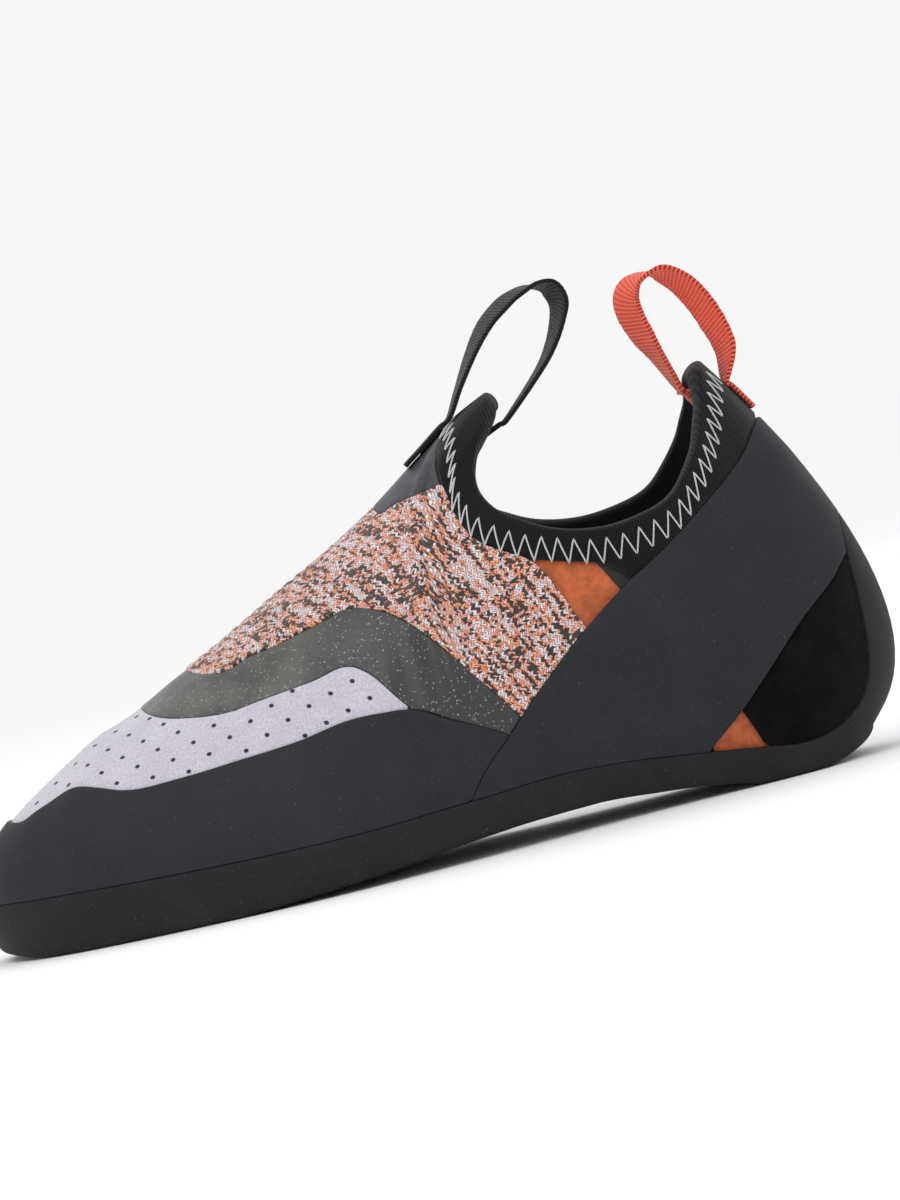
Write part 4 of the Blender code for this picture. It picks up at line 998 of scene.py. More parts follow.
SOLE_RUBBER = MouldedRubber("sole_rubber_moulded", "#1A1C1E", 0.66, specular=0.2, dust="#333538")
RAND_RUBBER = MouldedRubber("rand_rubber_calendered", "#1F2125", 0.6, specular=0.22, dust="#34363B")
GREY_MICROFIBRE = PerforatedMicrofibre("grey_microfibre_punched", "#C9C5CF", 0.85)
DARK_FILM = PressedFilm("smoky_film_pressed", "#2B2C2C", 0.42, specular=0.35)
KNIT = MarlKnit("marl_knit_weft", "#D98E6A", 0.85)
ORANGE = FilmedMicrofibre("orange_microfibre_filmed", "#C9632F", 0.5, specular=0.35)
SUEDE = NappedLeather("black_suede_buffed", "#080808", 0.95, specular=0.08)
BINDING = JerseyBinding("black_neoprene_jersey", "#0B0B0C", 0.9, specular=0.12)
BLACK_WEBBING = WovenWebbing("black_webbing_woven", "#1A1A1A", 0.8, specular=0.15)
# The coral webbing's valley colour is painted shade between its weft ribs
CORAL_WEBBING = WovenWebbing("coral_webbing_woven", "#F4654A", 0.75, specular=0.2,
                             valley_shade="#C64330", fleck="#7A2A22")
PATCH = SmoothSynthetic("slate_synthetic_pressed", "#34353A", 0.5, specular=0.3)
THREAD = SpunThread("grey_thread_spun", "#D2D4D2", 0.6)
LINING = JerseyBinding("black_lining_jersey", "#17171A", 0.95, specular=0.2)
FOOTBED = FootbedTextile("grey_footbed_textile", "#5C5C60", 0.9)
PAPER = StudioPaper("white_studio_paper", "#FFFFFF", 0.9)


@dataclass
class Net:
    """Points with flat coordinates, and the faces between them."""

    points: list[np.ndarray] = field(default_factory=list)
    flats: list[tuple[float, float]] = field(default_factory=list)
    faces: list[list[int]] = field(default_factory=list)
    inner_from: int | None = None
    keys: dict[tuple, int] = field(default_factory=dict)

    def put(self, key: tuple, point: np.ndarray, flat: Sequence[float]) -> int:
        """Add a point once and return its number."""
        if key not in self.keys:
            self.keys[key] = len(self.points)
            self.points.append(np.asarray(point, dtype=float))
            self.flats.append((float(flat[0]) / MM, float(flat[1]) / MM))
        return self.keys[key]

    def quad(self, ring: Sequence[int], flip: bool) -> None:
        """Add a face, leaving out corners that repeat."""
        clean = [n for k, n in enumerate(ring) if n != ring[k - 1]]
        if len(set(clean)) > 2:
            self.faces.append(clean[::-1] if flip else clean)

    def grid(self, rows: Sequence[Sequence[int]], flip: bool) -> None:
        """Fill between rows of as many points each."""
        for first, second in zip(rows, rows[1:]):
            for k in range(len(first) - 1):
                self.quad((first[k], first[k + 1], second[k + 1], second[k]), flip)

    def borders(self) -> list[tuple[int, int]]:
        """Edges that only one face uses, in that face's direction."""
        seen: dict[tuple[int, int], bool] = {}
        for face in self.faces:
            for k, second in enumerate(face):
                first = face[k - 1]
                if (second, first) in seen:
                    del seen[(second, first)]
                else:
                    seen[(first, second)] = True
        return list(seen)

    def thicken(self, inner: Sequence[np.ndarray]) -> None:
        """Close the sheet with an inner point for each point."""
        count = len(self.points)
        edges = self.borders()
        self.points += [np.asarray(point, dtype=float) for point in inner]
        self.flats += self.flats[:count]
        self.inner_from = len(self.faces)
        self.faces += [[n + count for n in reversed(face)] for face in self.faces]
        self.faces += [[second, first, first + count, second + count] for first, second in edges]

    def shape(self, name: str, finish: Finish, lining: Finish | None = None,
              sharp: float = 50.0) -> bpy.types.Object:
        """Make the object.

        Args:
            name: The piece's name.
            finish: Its finish.
            lining: Finish of the inner faces, where it differs.
            sharp: Angle in degrees from which an edge stays sharp.

        Returns:
            The new object, shaded smooth.
        """
        mesh = bpy.data.meshes.new(name)
        moved = np.array(self.points) - np.array((SIZES.heel_rest * SIZES.length, 0.0, 0.0))
        mesh.from_pydata(moved.tolist(), [], self.faces)
        layer = mesh.uv_layers.new(name="developed")
        corners = np.empty(len(mesh.loops), dtype=np.int64)
        mesh.loops.foreach_get("vertex_index", corners)
        layer.data.foreach_set("uv", np.array(self.flats, dtype=np.float32)[corners].ravel())
        mesh.materials.append(finish.material())
        if lining is not None and self.inner_from is not None:
            mesh.materials.append(lining.material())
            slots = np.zeros(len(self.faces), dtype=np.int32)
            slots[self.inner_from:] = 1
            mesh.polygons.foreach_set("material_index", slots)
        mesh.validate()
        mesh.shade_smooth()
        mesh.set_sharp_from_angle(angle=math.radians(sharp))
        item = bpy.data.objects.new(name, mesh)
        bpy.context.scene.collection.objects.link(item)
        return item


def hand_over(item: bpy.types.Object, slot: str, *nodes: str) -> None:
    """Let a piece ride on the shoe and stand for the nodes that it replaces."""
    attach(item, "root")
    if nodes:
        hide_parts(*nodes)
    LOG.info("%s: %d faces", item.name, len(item.data.polygons))


@dataclass(frozen=True)
class Crease:
    """A soft trough or ridge, laid on the flat pattern in millimetres."""

    along: float
    height: float
    turn: float
    reach: float
    width: float
    rise: float

    def at(self, along: np.ndarray, height: np.ndarray) -> np.ndarray:
        """How far the crease lifts the surface at flat places, in metres."""
        angle = math.radians(self.turn)
        run = (along - self.along) * math.cos(angle) + (height - self.height) * math.sin(angle)
        off = (height - self.height) * math.cos(angle) - (along - self.along) * math.sin(angle)
        return self.rise * MM * np.exp(-(run / self.reach) ** 4 - (off / self.width) ** 2)


def creased(*creases: Crease) -> Relief:
    """The lift of several creases together."""
    return lambda along, height: sum(crease.at(along, height) for crease in creases)


@dataclass
class Panel:
    """An overlay between two borders, with rounded edges and its own relief."""

    name: str
    node: str
    slot: str
    finish: Finish
    low: Border
    high: Border
    proud: float
    sides: tuple[int, ...] = (-1, 1)
    rows: int = 22
    relief: Relief | None = None
    soft: float = 0.0007

    def open_runs(self) -> list[tuple[float, float]]:
        """Runs of places where the borders lie apart."""
        fine = np.linspace(0.0, 1.0, 301)
        apart = [self.is_open(place) for place in fine]
        runs = []
        start = 0.0 if apart[0] else None
        for i in range(1, len(fine)):
            if apart[i] and not apart[i - 1]:
                start = self.meeting(fine[i], fine[i - 1])
            if apart[i - 1] and not apart[i]:
                runs.append((start, self.meeting(fine[i - 1], fine[i])))
                start = None
        if start is not None:
            runs.append((start, 1.0))
        return runs

    def is_open(self, place: float) -> bool:
        """Whether the borders lie apart at a place."""
        return self.high(place) - self.low(place) > 1e-6

    def meeting(self, inside: float, outside: float) -> float:
        """The place where the borders meet, found between an open and a shut one."""
        for _ in range(18):
            middle = 0.5 * (inside + outside)
            if self.is_open(middle):
                inside = middle
            else:
                outside = middle
        return float(inside)

    def ridge_ends(self, first: float, last: float) -> list[float]:
        """Places where the upper border leaves or meets the ridge."""
        fine = np.linspace(first, min(last, SIZES.tab), 80)
        tops = [self.high(place) >= 1.0 for place in fine]
        found = []
        for i in range(1, len(fine)):
            if tops[i] != tops[i - 1]:
                inside, outside = (fine[i], fine[i - 1]) if tops[i] else (fine[i - 1], fine[i])
                for _ in range(18):
                    middle = 0.5 * (inside + outside)
                    if self.high(middle) >= 1.0:
                        inside = middle
                    else:
                        outside = middle
                found.append(float(inside))
        return found

    def levels(self, start: float, end: float, size: float) -> tuple[np.ndarray, np.ndarray]:
        """Climbs of a column, and how far each point lies from the nearer border."""
        ring = min(self.soft / size, 0.3 * (end - start))
        edge = np.array((0.0, 0.12, 0.35, 0.65)) * ring
        middle = np.linspace(start + ring, end - ring, self.rows)
        climbs = np.concatenate((start + edge, middle, (end - edge)[::-1]))
        shared_top = end >= 1.0 - 1e-9
        away = np.minimum(climbs - start, np.inf if shared_top else end - climbs) * size
        return climbs, np.maximum(away, 0.0)

    def build(self) -> bpy.types.Object:
        """Build and hand over the overlay."""
        net = Net()
        inner: dict[int, np.ndarray] = {}
        outer = SIZES.rubber - self.proud
        for first, last in self.open_runs():
            places = SKIN.even_places(first, last, [SIZES.tab, *self.ridge_ends(first, last)])
            for side in self.sides:
                rows = []
                for place in places:
                    rows.append(self.column(net, inner, side, place, outer))
                net.grid(rows, side < 0)
        net.thicken([inner[n] for n in range(len(net.points))])
        item = net.shape(self.name, self.finish)
        hand_over(item, self.slot, self.node)
        return item

    def column(self, net: Net, inner: dict[int, np.ndarray], side: int, place: float,
               outer: float) -> list[int]:
        """Add one column of points with their inner ones and return their numbers."""
        u = place * side
        start, end = self.low(place), max(self.high(place), self.low(place))
        shut = 1e-6
        path = SKIN.points(u, np.linspace(start, max(end, start + shut), 9))
        length = float(np.sum(np.linalg.norm(np.diff(path, axis=0), axis=1)))
        size = max(length, 1e-5) / max(end - start, shut)
        climbs, away = self.levels(start, end, size)
        flats = SKIN.developed(u, climbs)
        share = np.clip(away / self.soft, 0.0, 1.0)
        lift = np.sqrt(1.0 - (1.0 - share) ** 2)
        depth = outer + min(0.8 * self.proud, EDGE_DROP) * (1.0 - lift)
        if self.relief is not None:
            depth = depth - self.relief(flats[:, 0] / MM, flats[:, 1] / MM) * share
        near = SKIN.under(u, climbs, depth)
        far = SKIN.under(u, climbs, SIZES.rubber)
        numbers = []
        for k, v in enumerate(climbs):
            shared = place in (0.0, 1.0) or (v > 1.0 - 1e-9 and place <= SIZES.tab)
            key = (0 if shared else side, round(place, 7), round(float(v), 7))
            number = net.put(key, near[k], flats[k])
            inner[number] = far[k]
            numbers.append(number)
        return numbers


@dataclass
class Outsole:
    """Tread, rounded edge, sidewall and heel cup in one moulded body."""

    wall_rows: int = 16
    rung_parts: int = 18
    fillet_steps: int = 5
    lip_round: float = 0.00035

    def stations(self) -> list[float]:
        """Ribs in order round the shoe."""
        places = SKIN.even_places(0.0, 1.0)
        return [-place for place in reversed(places)] + places[1:-1]

    def rounded_edge(self, u: float, share: float) -> np.ndarray:
        """Point of the rounded bottom edge: share 1 at the sidewall and 0 under the sole."""
        foot = SKIN.points(u, np.array((0.0,)))[0]
        turn = 0.5 * math.pi * share
        plan = foot[:2] - SKIN.outward(u) * SIZES.edge_round * (1.0 - math.sin(turn))
        lift = SIZES.edge_round * (1.0 - math.cos(turn))
        return np.array((*plan, SKIN.underside(plan[0]) + lift))

    def ladder(self, net: Net, ring: list[int], height: Callable[[float], float], flip: bool) -> None:
        """Fill a ring with rungs from side to side at a given height."""
        last = len(ring) // 2
        rungs = []
        for k in range(1, last):
            first, second = net.points[ring[last - k]], net.points[ring[last + k]]
            rung = [ring[last - k]]
            for c in range(1, self.rung_parts):
                point = first + (second - first) * c / self.rung_parts
                point = np.array((point[0], point[1], height(point[0])))
                rung.append(net.put(("rung", flip, k, c), point, point[:2]))
            rungs.append([*rung, ring[last + k]])
        toe, heel = ([ring[n]] * (self.rung_parts + 1) for n in (last, 0))
        net.grid([toe, *rungs, heel], flip)

    def build(self) -> bpy.types.Object:
        """Build and hand over the outsole."""
        net = Net()
        columns = []
        for u in self.stations():
            top = SKIN.climb(Edge.SOLE_TOP, abs(u), -0.5 * SIZES.seam_gap)
            base = SKIN.climb_to_height(u, SIZES.rubber, SKIN.floor_inside)
            low, high = SKIN.points(u, np.array((0.0, top)))
            size = float(np.linalg.norm(high - low)) / top
            turns = np.linspace(0.0, 0.5 * math.pi, 4)
            round_in = self.lip_round / size
            outer_v = top - round_in * (1.0 - np.sin(turns))
            outer_depth = self.lip_round * (1.0 - np.cos(turns))
            wall = np.linspace(0.0, top - round_in, self.wall_rows)
            lip_v = np.concatenate((outer_v[1:], outer_v[:0:-1]))
            lip_depth = np.concatenate((outer_depth[1:], SIZES.rubber - outer_depth[:0:-1]))
            lip = SKIN.under(u, lip_v, lip_depth)
            inside_v = np.linspace(top - round_in, base, self.wall_rows)
            inside = SKIN.under(u, inside_v, SIZES.rubber)
            inside[-1, 2] = SKIN.floor_inside(inside[-1, 0])
            steps = np.linspace(0.0, 1.0, self.fillet_steps)[:-1]
            rounding = [self.rounded_edge(u, share) for share in steps]
            profile = [*rounding, *SKIN.points(u, wall), *lip, *inside]
            climbs = [0.0] * len(rounding) + list(wall) + list(lip_v) + list(inside_v)
            flats = SKIN.developed(u, np.array(climbs))
            columns.append([net.put(("s", round(u, 7), k), point, flats[k])
                            for k, point in enumerate(profile)])
        net.grid([*columns, columns[0]], True)
        self.ladder(net, [column[0] for column in columns], SKIN.underside, False)
        self.ladder(net, [column[-1] for column in columns], SKIN.floor_inside, True)
        item = net.shape("outsole_moulded", SOLE_RUBBER)
        hand_over(item, "sole_rubber", "outsole")
        return item


@dataclass
class Insole:
    """The footbed on the sole's floor, with a rounded edge."""

    rung_parts: int = 16

    def build(self) -> bpy.types.Object:
        """Build and hand over the footbed."""
        sole = Outsole(rung_parts=self.rung_parts)
        net = Net()
        profile = ((0.0, 0.0), (0.0, 0.7), (0.0003, 0.92), (0.0009, 1.0))
        columns = []
        for u in sole.stations():
            bottom = SIZES.gap
            climb = SKIN.climb_to_height(u, SIZES.lining, lambda along: SKIN.floor_inside(along) + bottom)
            edge = SKIN.under(u, np.array((climb,)), SIZES.lining)[0]
            numbers = []
            for k, (tuck, rise) in enumerate(profile):
                plan = edge[:2] - SKIN.outward(u) * tuck
                height = SKIN.floor_inside(plan[0]) + bottom + SIZES.insole * rise
                numbers.append(net.put(("i", round(u, 7), k), np.array((*plan, height)), plan))
            columns.append(numbers)
        net.grid([*columns, columns[0]], True)
        sole.ladder(net, [column[0] for column in columns],
                    lambda along: SKIN.floor_inside(along) + SIZES.gap, False)
        sole.ladder(net, [column[-1] for column in columns],
                    lambda along: SKIN.floor_inside(along) + SIZES.gap + SIZES.insole, True)
        item = net.shape("footbed", FOOTBED)
        hand_over(item, "footbed_foam", "insole")
        return item


@dataclass
class Upper:
    """The hollow body: one wall from the sole's floor to the ridge and the collar."""

    rows: int = 40
    wrinkles: tuple[Crease, ...] = (
        Crease(158.0, 66.0, 62.0, 9.0, 1.6, 0.35),
        Crease(166.0, 62.0, 68.0, 8.0, 1.4, -0.3),
        Crease(172.0, 60.0, 60.0, 7.0, 1.5, 0.25),
        Crease(196.0, 14.0, 40.0, 6.0, 1.5, 0.25),
    )

    def build(self) -> bpy.types.Object:
        """Build and hand over the upper."""
        outer = SIZES.rubber + SIZES.layer_gap
        wall = outer + SIZES.upper_wall
        net = Net()
        inner: dict[int, np.ndarray] = {}
        relief = creased(*self.wrinkles)
        places = SKIN.even_places(0.0, 1.0, [SIZES.tab])
        for side in (-1, 1):
            rows = []
            for place in places:
                half = 1 if place in (0.0, 1.0) else side
                u = place * half
                reach, end = place, 1.0
                if place >= SIZES.tab:
                    reach, end = SKIN.collar_back(place, SIZES.binding + SIZES.gap)
                start = SKIN.climb_to_height(u, outer, lambda along: SKIN.floor_inside(along) + SIZES.gap)
                climbs = np.linspace(start, end, self.rows)
                flats = SKIN.developed(u, climbs)
                depth = outer - relief(flats[:, 0] / MM, flats[:, 1] / MM)
                near = SKIN.under(u, climbs, depth)
                low = SKIN.climb_to_height(u, wall, lambda along: SKIN.floor_inside(along) + SIZES.gap)
                inside = np.maximum(climbs, min(low, end))
                far = SKIN.under(u, inside, wall)
                if place == SIZES.tab:
                    near[-1] = SKIN.under(reach, np.array((1.0,)), outer)[0]
                    far[-1] = SKIN.under(reach, np.array((1.0,)), wall)[0]
                numbers = []
                for k, v in enumerate(climbs):
                    shared = place in (0.0, 1.0) or (k == self.rows - 1 and place <= SIZES.tab)
                    key = (0 if shared else side, round(place, 7), k)
                    number = net.put(key, near[k], flats[k])
                    inner[number] = far[k]
                    numbers.append(number)
                rows.append(numbers)
            net.grid(rows, side < 0)
        net.thicken([inner[n] for n in range(len(net.points))])
        item = net.shape("upper_body", ORANGE, LINING)
        hand_over(item, "orange_microfibre", "upper")
        return item


@dataclass
class Binding:
    """The folded binding: an outer leg, a round lip over the collar's edge and an inner leg."""

    leg_rows: int = 14
    turn_rows: int = 7
    inner_rows: int = 6
    lip: float = 0.0017

    def stations(self) -> list[float]:
        """Places of the binding, from the ridge before the front tab to the heel."""
        low = SKIN.above(Edge.BINDING_LOW, Edge.BAND_FRONT)
        fine = np.linspace(0.4, SIZES.tab, 200)
        first = next(float(place) for place in fine if low(place) < 1.0 - 1e-6)
        inside, outside = first, first - 0.001
        for _ in range(18):
            middle = 0.5 * (inside + outside)
            if low(middle) < 1.0 - 1e-6:
                inside = middle
            else:
                outside = middle
        return SKIN.even_places(inside, 1.0, [SIZES.tab])

    def build(self) -> bpy.types.Object:
        """Build and hand over the binding."""
        net = Net()
        inner: dict[int, np.ndarray] = {}
        places = self.stations()
        for side in (-1, 1):
            legs, folds = [], []
            for place in places:
                leg, fold = self.column(net, inner, side, place)
                legs.append(leg)
                if fold:
                    folds.append(fold)
            net.grid(legs, side < 0)
            net.grid(folds, side < 0)
        net.thicken([inner[n] for n in range(len(net.points))])
        item = net.shape("collar_binding_folded", BINDING)
        hand_over(item, "black_binding", "collar_binding")
        return item

    def column(self, net: Net, inner: dict[int, np.ndarray], side: int,
               place: float) -> tuple[list[int], list[int]]:
        """Add the points of one station and return the outer leg's and the fold's numbers."""
        outer = SIZES.rubber - SIZES.binding_proud
        deep = SIZES.lining + SIZES.binding
        low = SKIN.above(Edge.BINDING_LOW, Edge.BAND_FRONT)
        start = min(low(place), 1.0)
        half = 0 if place in (SIZES.tab, 1.0) else side
        u = place * (side if place < SIZES.tab else (half or 1))
        if place < SIZES.tab:
            climbs = np.linspace(start, 1.0, self.leg_rows + self.turn_rows)
            ends = SKIN.points(u, np.array((start, 1.0)))
            away = np.linspace(0.0, 1.0, len(climbs)) * float(np.linalg.norm(ends[1] - ends[0]))
            depth = outer + 0.7 * SIZES.binding_proud * self.roll(away)
            near, far = SKIN.under(u, climbs, depth), SKIN.under(u, climbs, SIZES.rubber)
            flats = SKIN.developed(u, climbs)
            return self.put_all(net, inner, side, place, climbs, near, far, flats), []
        beside = place if place != SIZES.tab else place + TINY
        _, lip_v = SKIN.collar_back(beside, self.lip)
        middle = 0.5 * (outer + deep)
        bulge = 0.5 * (deep - outer)
        leg_v = np.linspace(min(start, lip_v - 0.01), lip_v, self.leg_rows)
        size = self.lip / (1.0 - lip_v)
        away = (leg_v - leg_v[0]) * size
        depth = outer + 0.7 * SIZES.binding_proud * self.roll(away)
        turns = np.linspace(0.0, math.pi, 2 * self.turn_rows + 1)[1:]
        turn_v = 1.0 - (1.0 - lip_v) * (1.0 - np.sin(turns))
        turn_depth = middle - bulge * np.cos(turns)
        _, end_v = SKIN.collar_back(beside, SIZES.binding_leg)
        down_v = np.linspace(lip_v, end_v, self.inner_rows + 1)[1:]
        climbs = np.concatenate((leg_v, turn_v, down_v))
        depths = np.concatenate((depth, turn_depth, np.full(self.inner_rows, deep)))
        far_turn = middle - (bulge - SIZES.binding) * np.cos(turns)
        far_depths = np.concatenate((np.full(self.leg_rows, SIZES.rubber), far_turn,
                                     np.full(self.inner_rows, SIZES.lining)))
        _, under_v = SKIN.collar_back(beside, SIZES.binding)
        far_climbs = np.minimum(climbs, under_v)
        near = self.along_tab(place, u, climbs, depths)
        far = self.along_tab(place, u, far_climbs, far_depths)
        flats = SKIN.developed(u, climbs)
        run = np.concatenate(((0.0,), np.cumsum(np.linalg.norm(np.diff(near, axis=0), axis=1))))
        flats[:, 1] = flats[0, 1] + run
        numbers = self.put_all(net, inner, half, place, climbs, near, far, flats)
        split = self.leg_rows + self.turn_rows
        return numbers[:split], numbers[split - 1:]

    def along_tab(self, place: float, u: float, climbs: np.ndarray, depths: np.ndarray) -> np.ndarray:
        """Points below the skin, laid back along the ridge at the front tab's tip."""
        if place != SIZES.tab:
            return SKIN.under(u, climbs, depths)
        points = []
        _, unit_v = SKIN.collar_back(place + TINY, SIZES.binding_leg)
        for v, depth in zip(climbs, depths):
            back, _ = SKIN.collar_back(place, SIZES.binding_leg * (1.0 - v) / (1.0 - unit_v))
            points.append(SKIN.under(back, np.array((1.0,)), depth)[0])
        return np.array(points)

    def roll(self, away: np.ndarray) -> np.ndarray:
        """How far the lower edge has rolled in, by distance from it."""
        share = np.clip(away / 0.0009, 0.0, 1.0)
        return 1.0 - np.sqrt(1.0 - (1.0 - share) ** 2)

    def put_all(self, net: Net, inner: dict[int, np.ndarray], half: int, place: float,
                climbs: np.ndarray, near: np.ndarray, far: np.ndarray, flats: np.ndarray) -> list[int]:
        """Add a column's points and return their numbers."""
        numbers = []
        for k in range(len(climbs)):
            shared = place < SIZES.tab and k == len(climbs) - 1
            number = net.put((0 if shared else half, round(place, 7), k), near[k], flats[k])
            inner[number] = far[k]
            numbers.append(number)
        return numbers


@dataclass
class Seam:
    """The zigzag that holds the binding down, as one mesh of thread."""

    pitch: float = 0.0043
    reach: float = 0.0062
    below_edge: float = 0.0006
    from_collar: Rows = ((0.59, 0.020), (0.66, 0.0096), (0.80, 0.0094))
    radius: float = 0.00022
    sides: int = 7
    parts: int = 9

    def teeth_foot(self, side: int, place: float, low: Border) -> np.ndarray:
        """Where a tooth stands: on the binding's lower edge, or a set way below the collar."""
        ends = SKIN.points(side * place, np.array((0.9, 1.0)))
        size = float(np.linalg.norm(ends[1] - ends[0])) / 0.1
        foot = max(low(place), 1.0 - self.farthest(place) / size)
        return SKIN.points(side * place, np.array((foot,)))[0]

    def farthest(self, place: float) -> float:
        """Farthest that a tooth may stand from the collar: less on the rear tab."""
        places, distances = zip(*self.from_collar)
        return float(np.interp(place, places, distances))

    def route(self, side: int) -> np.ndarray:
        """Points of the zigzag along one side, from the front tab to the heel."""
        low = SKIN.above(Edge.BINDING_LOW, Edge.BAND_FRONT)
        fine = np.linspace(0.512, 0.975, 500)
        edge = np.array([self.teeth_foot(side, float(place), low) for place in fine])
        grown = np.concatenate(((0.0,), np.cumsum(np.linalg.norm(np.diff(edge, axis=0), axis=1))))
        count = int(grown[-1] / (0.5 * self.pitch))
        corners = np.interp(np.linspace(0.0, grown[-1], count), grown, fine)
        path = []
        for k in range(count - 1):
            for step in np.linspace(0.0, 1.0, self.parts, endpoint=False):
                place = corners[k] + (corners[k + 1] - corners[k]) * step
                share = 1.0 - step if k % 2 else step
                ends = SKIN.points(side * place, np.array((0.9, 1.0)))
                size = float(np.linalg.norm(ends[1] - ends[0])) / 0.1
                low_v = max(low(place) - self.below_edge / size, 1.0 - self.farthest(place) / size)
                span = min(self.reach / size, 0.7 * (1.0 - low_v))
                depth = SIZES.rubber - SIZES.binding_proud - 0.55 * self.radius
                sink = 0.0005 * (1.0 - min(share / 0.12, 1.0)) + 0.00015 * (max(share, 0.94) - 0.94) / 0.06
                v = min(low_v + span * share, 0.999)
                path.append(SKIN.under(side * place, np.array((v,)), depth + sink)[0])
        return np.array(path)

    def build(self) -> bpy.types.Object:
        """Build and hand over the seam."""
        net = Net()
        for side in (-1, 1):
            path = self.route(side)
            tangents = np.gradient(path, axis=0)
            tangents /= np.linalg.norm(tangents, axis=1)[:, None]
            rings = []
            for k, (point, tangent) in enumerate(zip(path, tangents)):
                out = np.array((0.0, float(side), 0.35))
                across = np.cross(tangent, out)
                across /= np.linalg.norm(across)
                up = np.cross(across, tangent)
                ring = []
                for n in range(self.sides):
                    angle = 2.0 * math.pi * n / self.sides
                    offset = (across * math.cos(angle) + up * math.sin(angle)) * self.radius
                    ring.append(net.put((side, k, n), point + offset, (k * MM, n * MM)))
                rings.append([*ring, ring[0]])
            net.grid(rings, False)
            net.faces.append(rings[0][:-1])
            net.faces.append(rings[-1][:-1][::-1])
        item = net.shape("collar_zigzag_seam", THREAD, sharp=180.0)
        hand_over(item, "black_binding")
        return item


@dataclass
class Loop:
    """A flat webbing loop: sewn outside the tab, free, and sewn inside it."""

    name: str
    node: str
    slot: str
    finish: Finish
    outside: Rows
    free: Rows
    inside: Rows
    tail_points: int = 7
    steps: int = 9
    round_steps: int = 5
    scallop: float = 0.00016
    rib: float = 0.00105

    def tail(self, rows: Rows, depth: float) -> list[np.ndarray]:
        """Points of a sewn tail at a depth below the skin."""
        ends = shares(rows)
        fine = np.linspace(0.0, len(ends) - 1.0, self.tail_points)
        places = np.interp(fine, range(len(ends)), ends[:, 0])
        climbs = np.interp(fine, range(len(ends)), ends[:, 1])
        return [SKIN.under(place, np.array((v,)), depth)[0] for place, v in zip(places, climbs)]

    def section(self) -> list[tuple[float, float]]:
        """Half-widths and half-thicknesses of the webbing, in order round it."""
        points = []
        half, thick = 0.5 * SIZES.webbing_width, 0.5 * SIZES.webbing
        for n in range(self.round_steps + 1):
            angle = -0.5 * math.pi + math.pi * n / self.round_steps
            points.append((half - thick + thick * math.cos(angle), thick * math.sin(angle)))
        middle = [(share * (half - thick), thick) for share in (0.5, 0.0, -0.5)]
        other = [(-x, -y) for x, y in points]
        under = [(-x, -y) for x, y in middle]
        return [*points, *middle, *other, *under]

    def build(self) -> bpy.types.Object:
        """Build and hand over the loop."""
        clear = SIZES.gap + 0.5 * SIZES.webbing
        lining = SIZES.lining + SIZES.binding
        first = self.tail(self.outside, SIZES.rubber - SIZES.binding_proud - 0.52 * SIZES.webbing)
        last = self.tail(self.inside, lining + clear + SIZES.tab_hollow)
        middle = [np.array((x * SIZES.length, first[-1][1], z * SIZES.tab_height))
                  for x, z, _ in shares(self.free)]
        points = np.array([*first, *middle, *last])
        turns = np.radians([0.0] * len(first) + [row[2] for row in self.free] + [0.0] * len(last))
        knots = np.arange(len(points), dtype=float)
        curve = Curve(knots, points)
        samples = np.linspace(0.0, knots[-1], self.steps * len(points))
        path = np.array([curve.at(place) for place in samples])
        twist = np.interp(samples, knots, turns)
        tangents = np.gradient(path, axis=0)
        tangents /= np.linalg.norm(tangents, axis=1)[:, None]
        run = np.concatenate(((0.0,), np.cumsum(np.linalg.norm(np.diff(path, axis=0), axis=1))))
        net = Net()
        rings = []
        for k, (point, tangent, angle) in enumerate(zip(path, tangents, twist)):
            across = np.array((-math.sin(angle), math.cos(angle), 0.0))
            across -= tangent * np.dot(across, tangent)
            across /= np.linalg.norm(across)
            normal = np.cross(tangent, across)
            pull = self.scallop * math.cos(2.0 * math.pi * run[k] / self.rib)
            ring = []
            for n, (wide, thick) in enumerate(self.section()):
                if abs(wide) > 0.3 * SIZES.webbing_width:
                    wide -= math.copysign(max(pull, 0.0), wide)
                place = point + across * wide + normal * thick
                ring.append(net.put((k, n), place, (run[k], wide)))
            rings.append([*ring, ring[0]])
        net.grid(rings, False)
        net.faces.append(rings[0][:-1][::-1])
        net.faces.append(rings[-1][:-1])
        net.faces = [face[::-1] for face in net.faces]
        item = net.shape(self.name, self.finish)
        hand_over(item, self.slot, self.node)
        return item


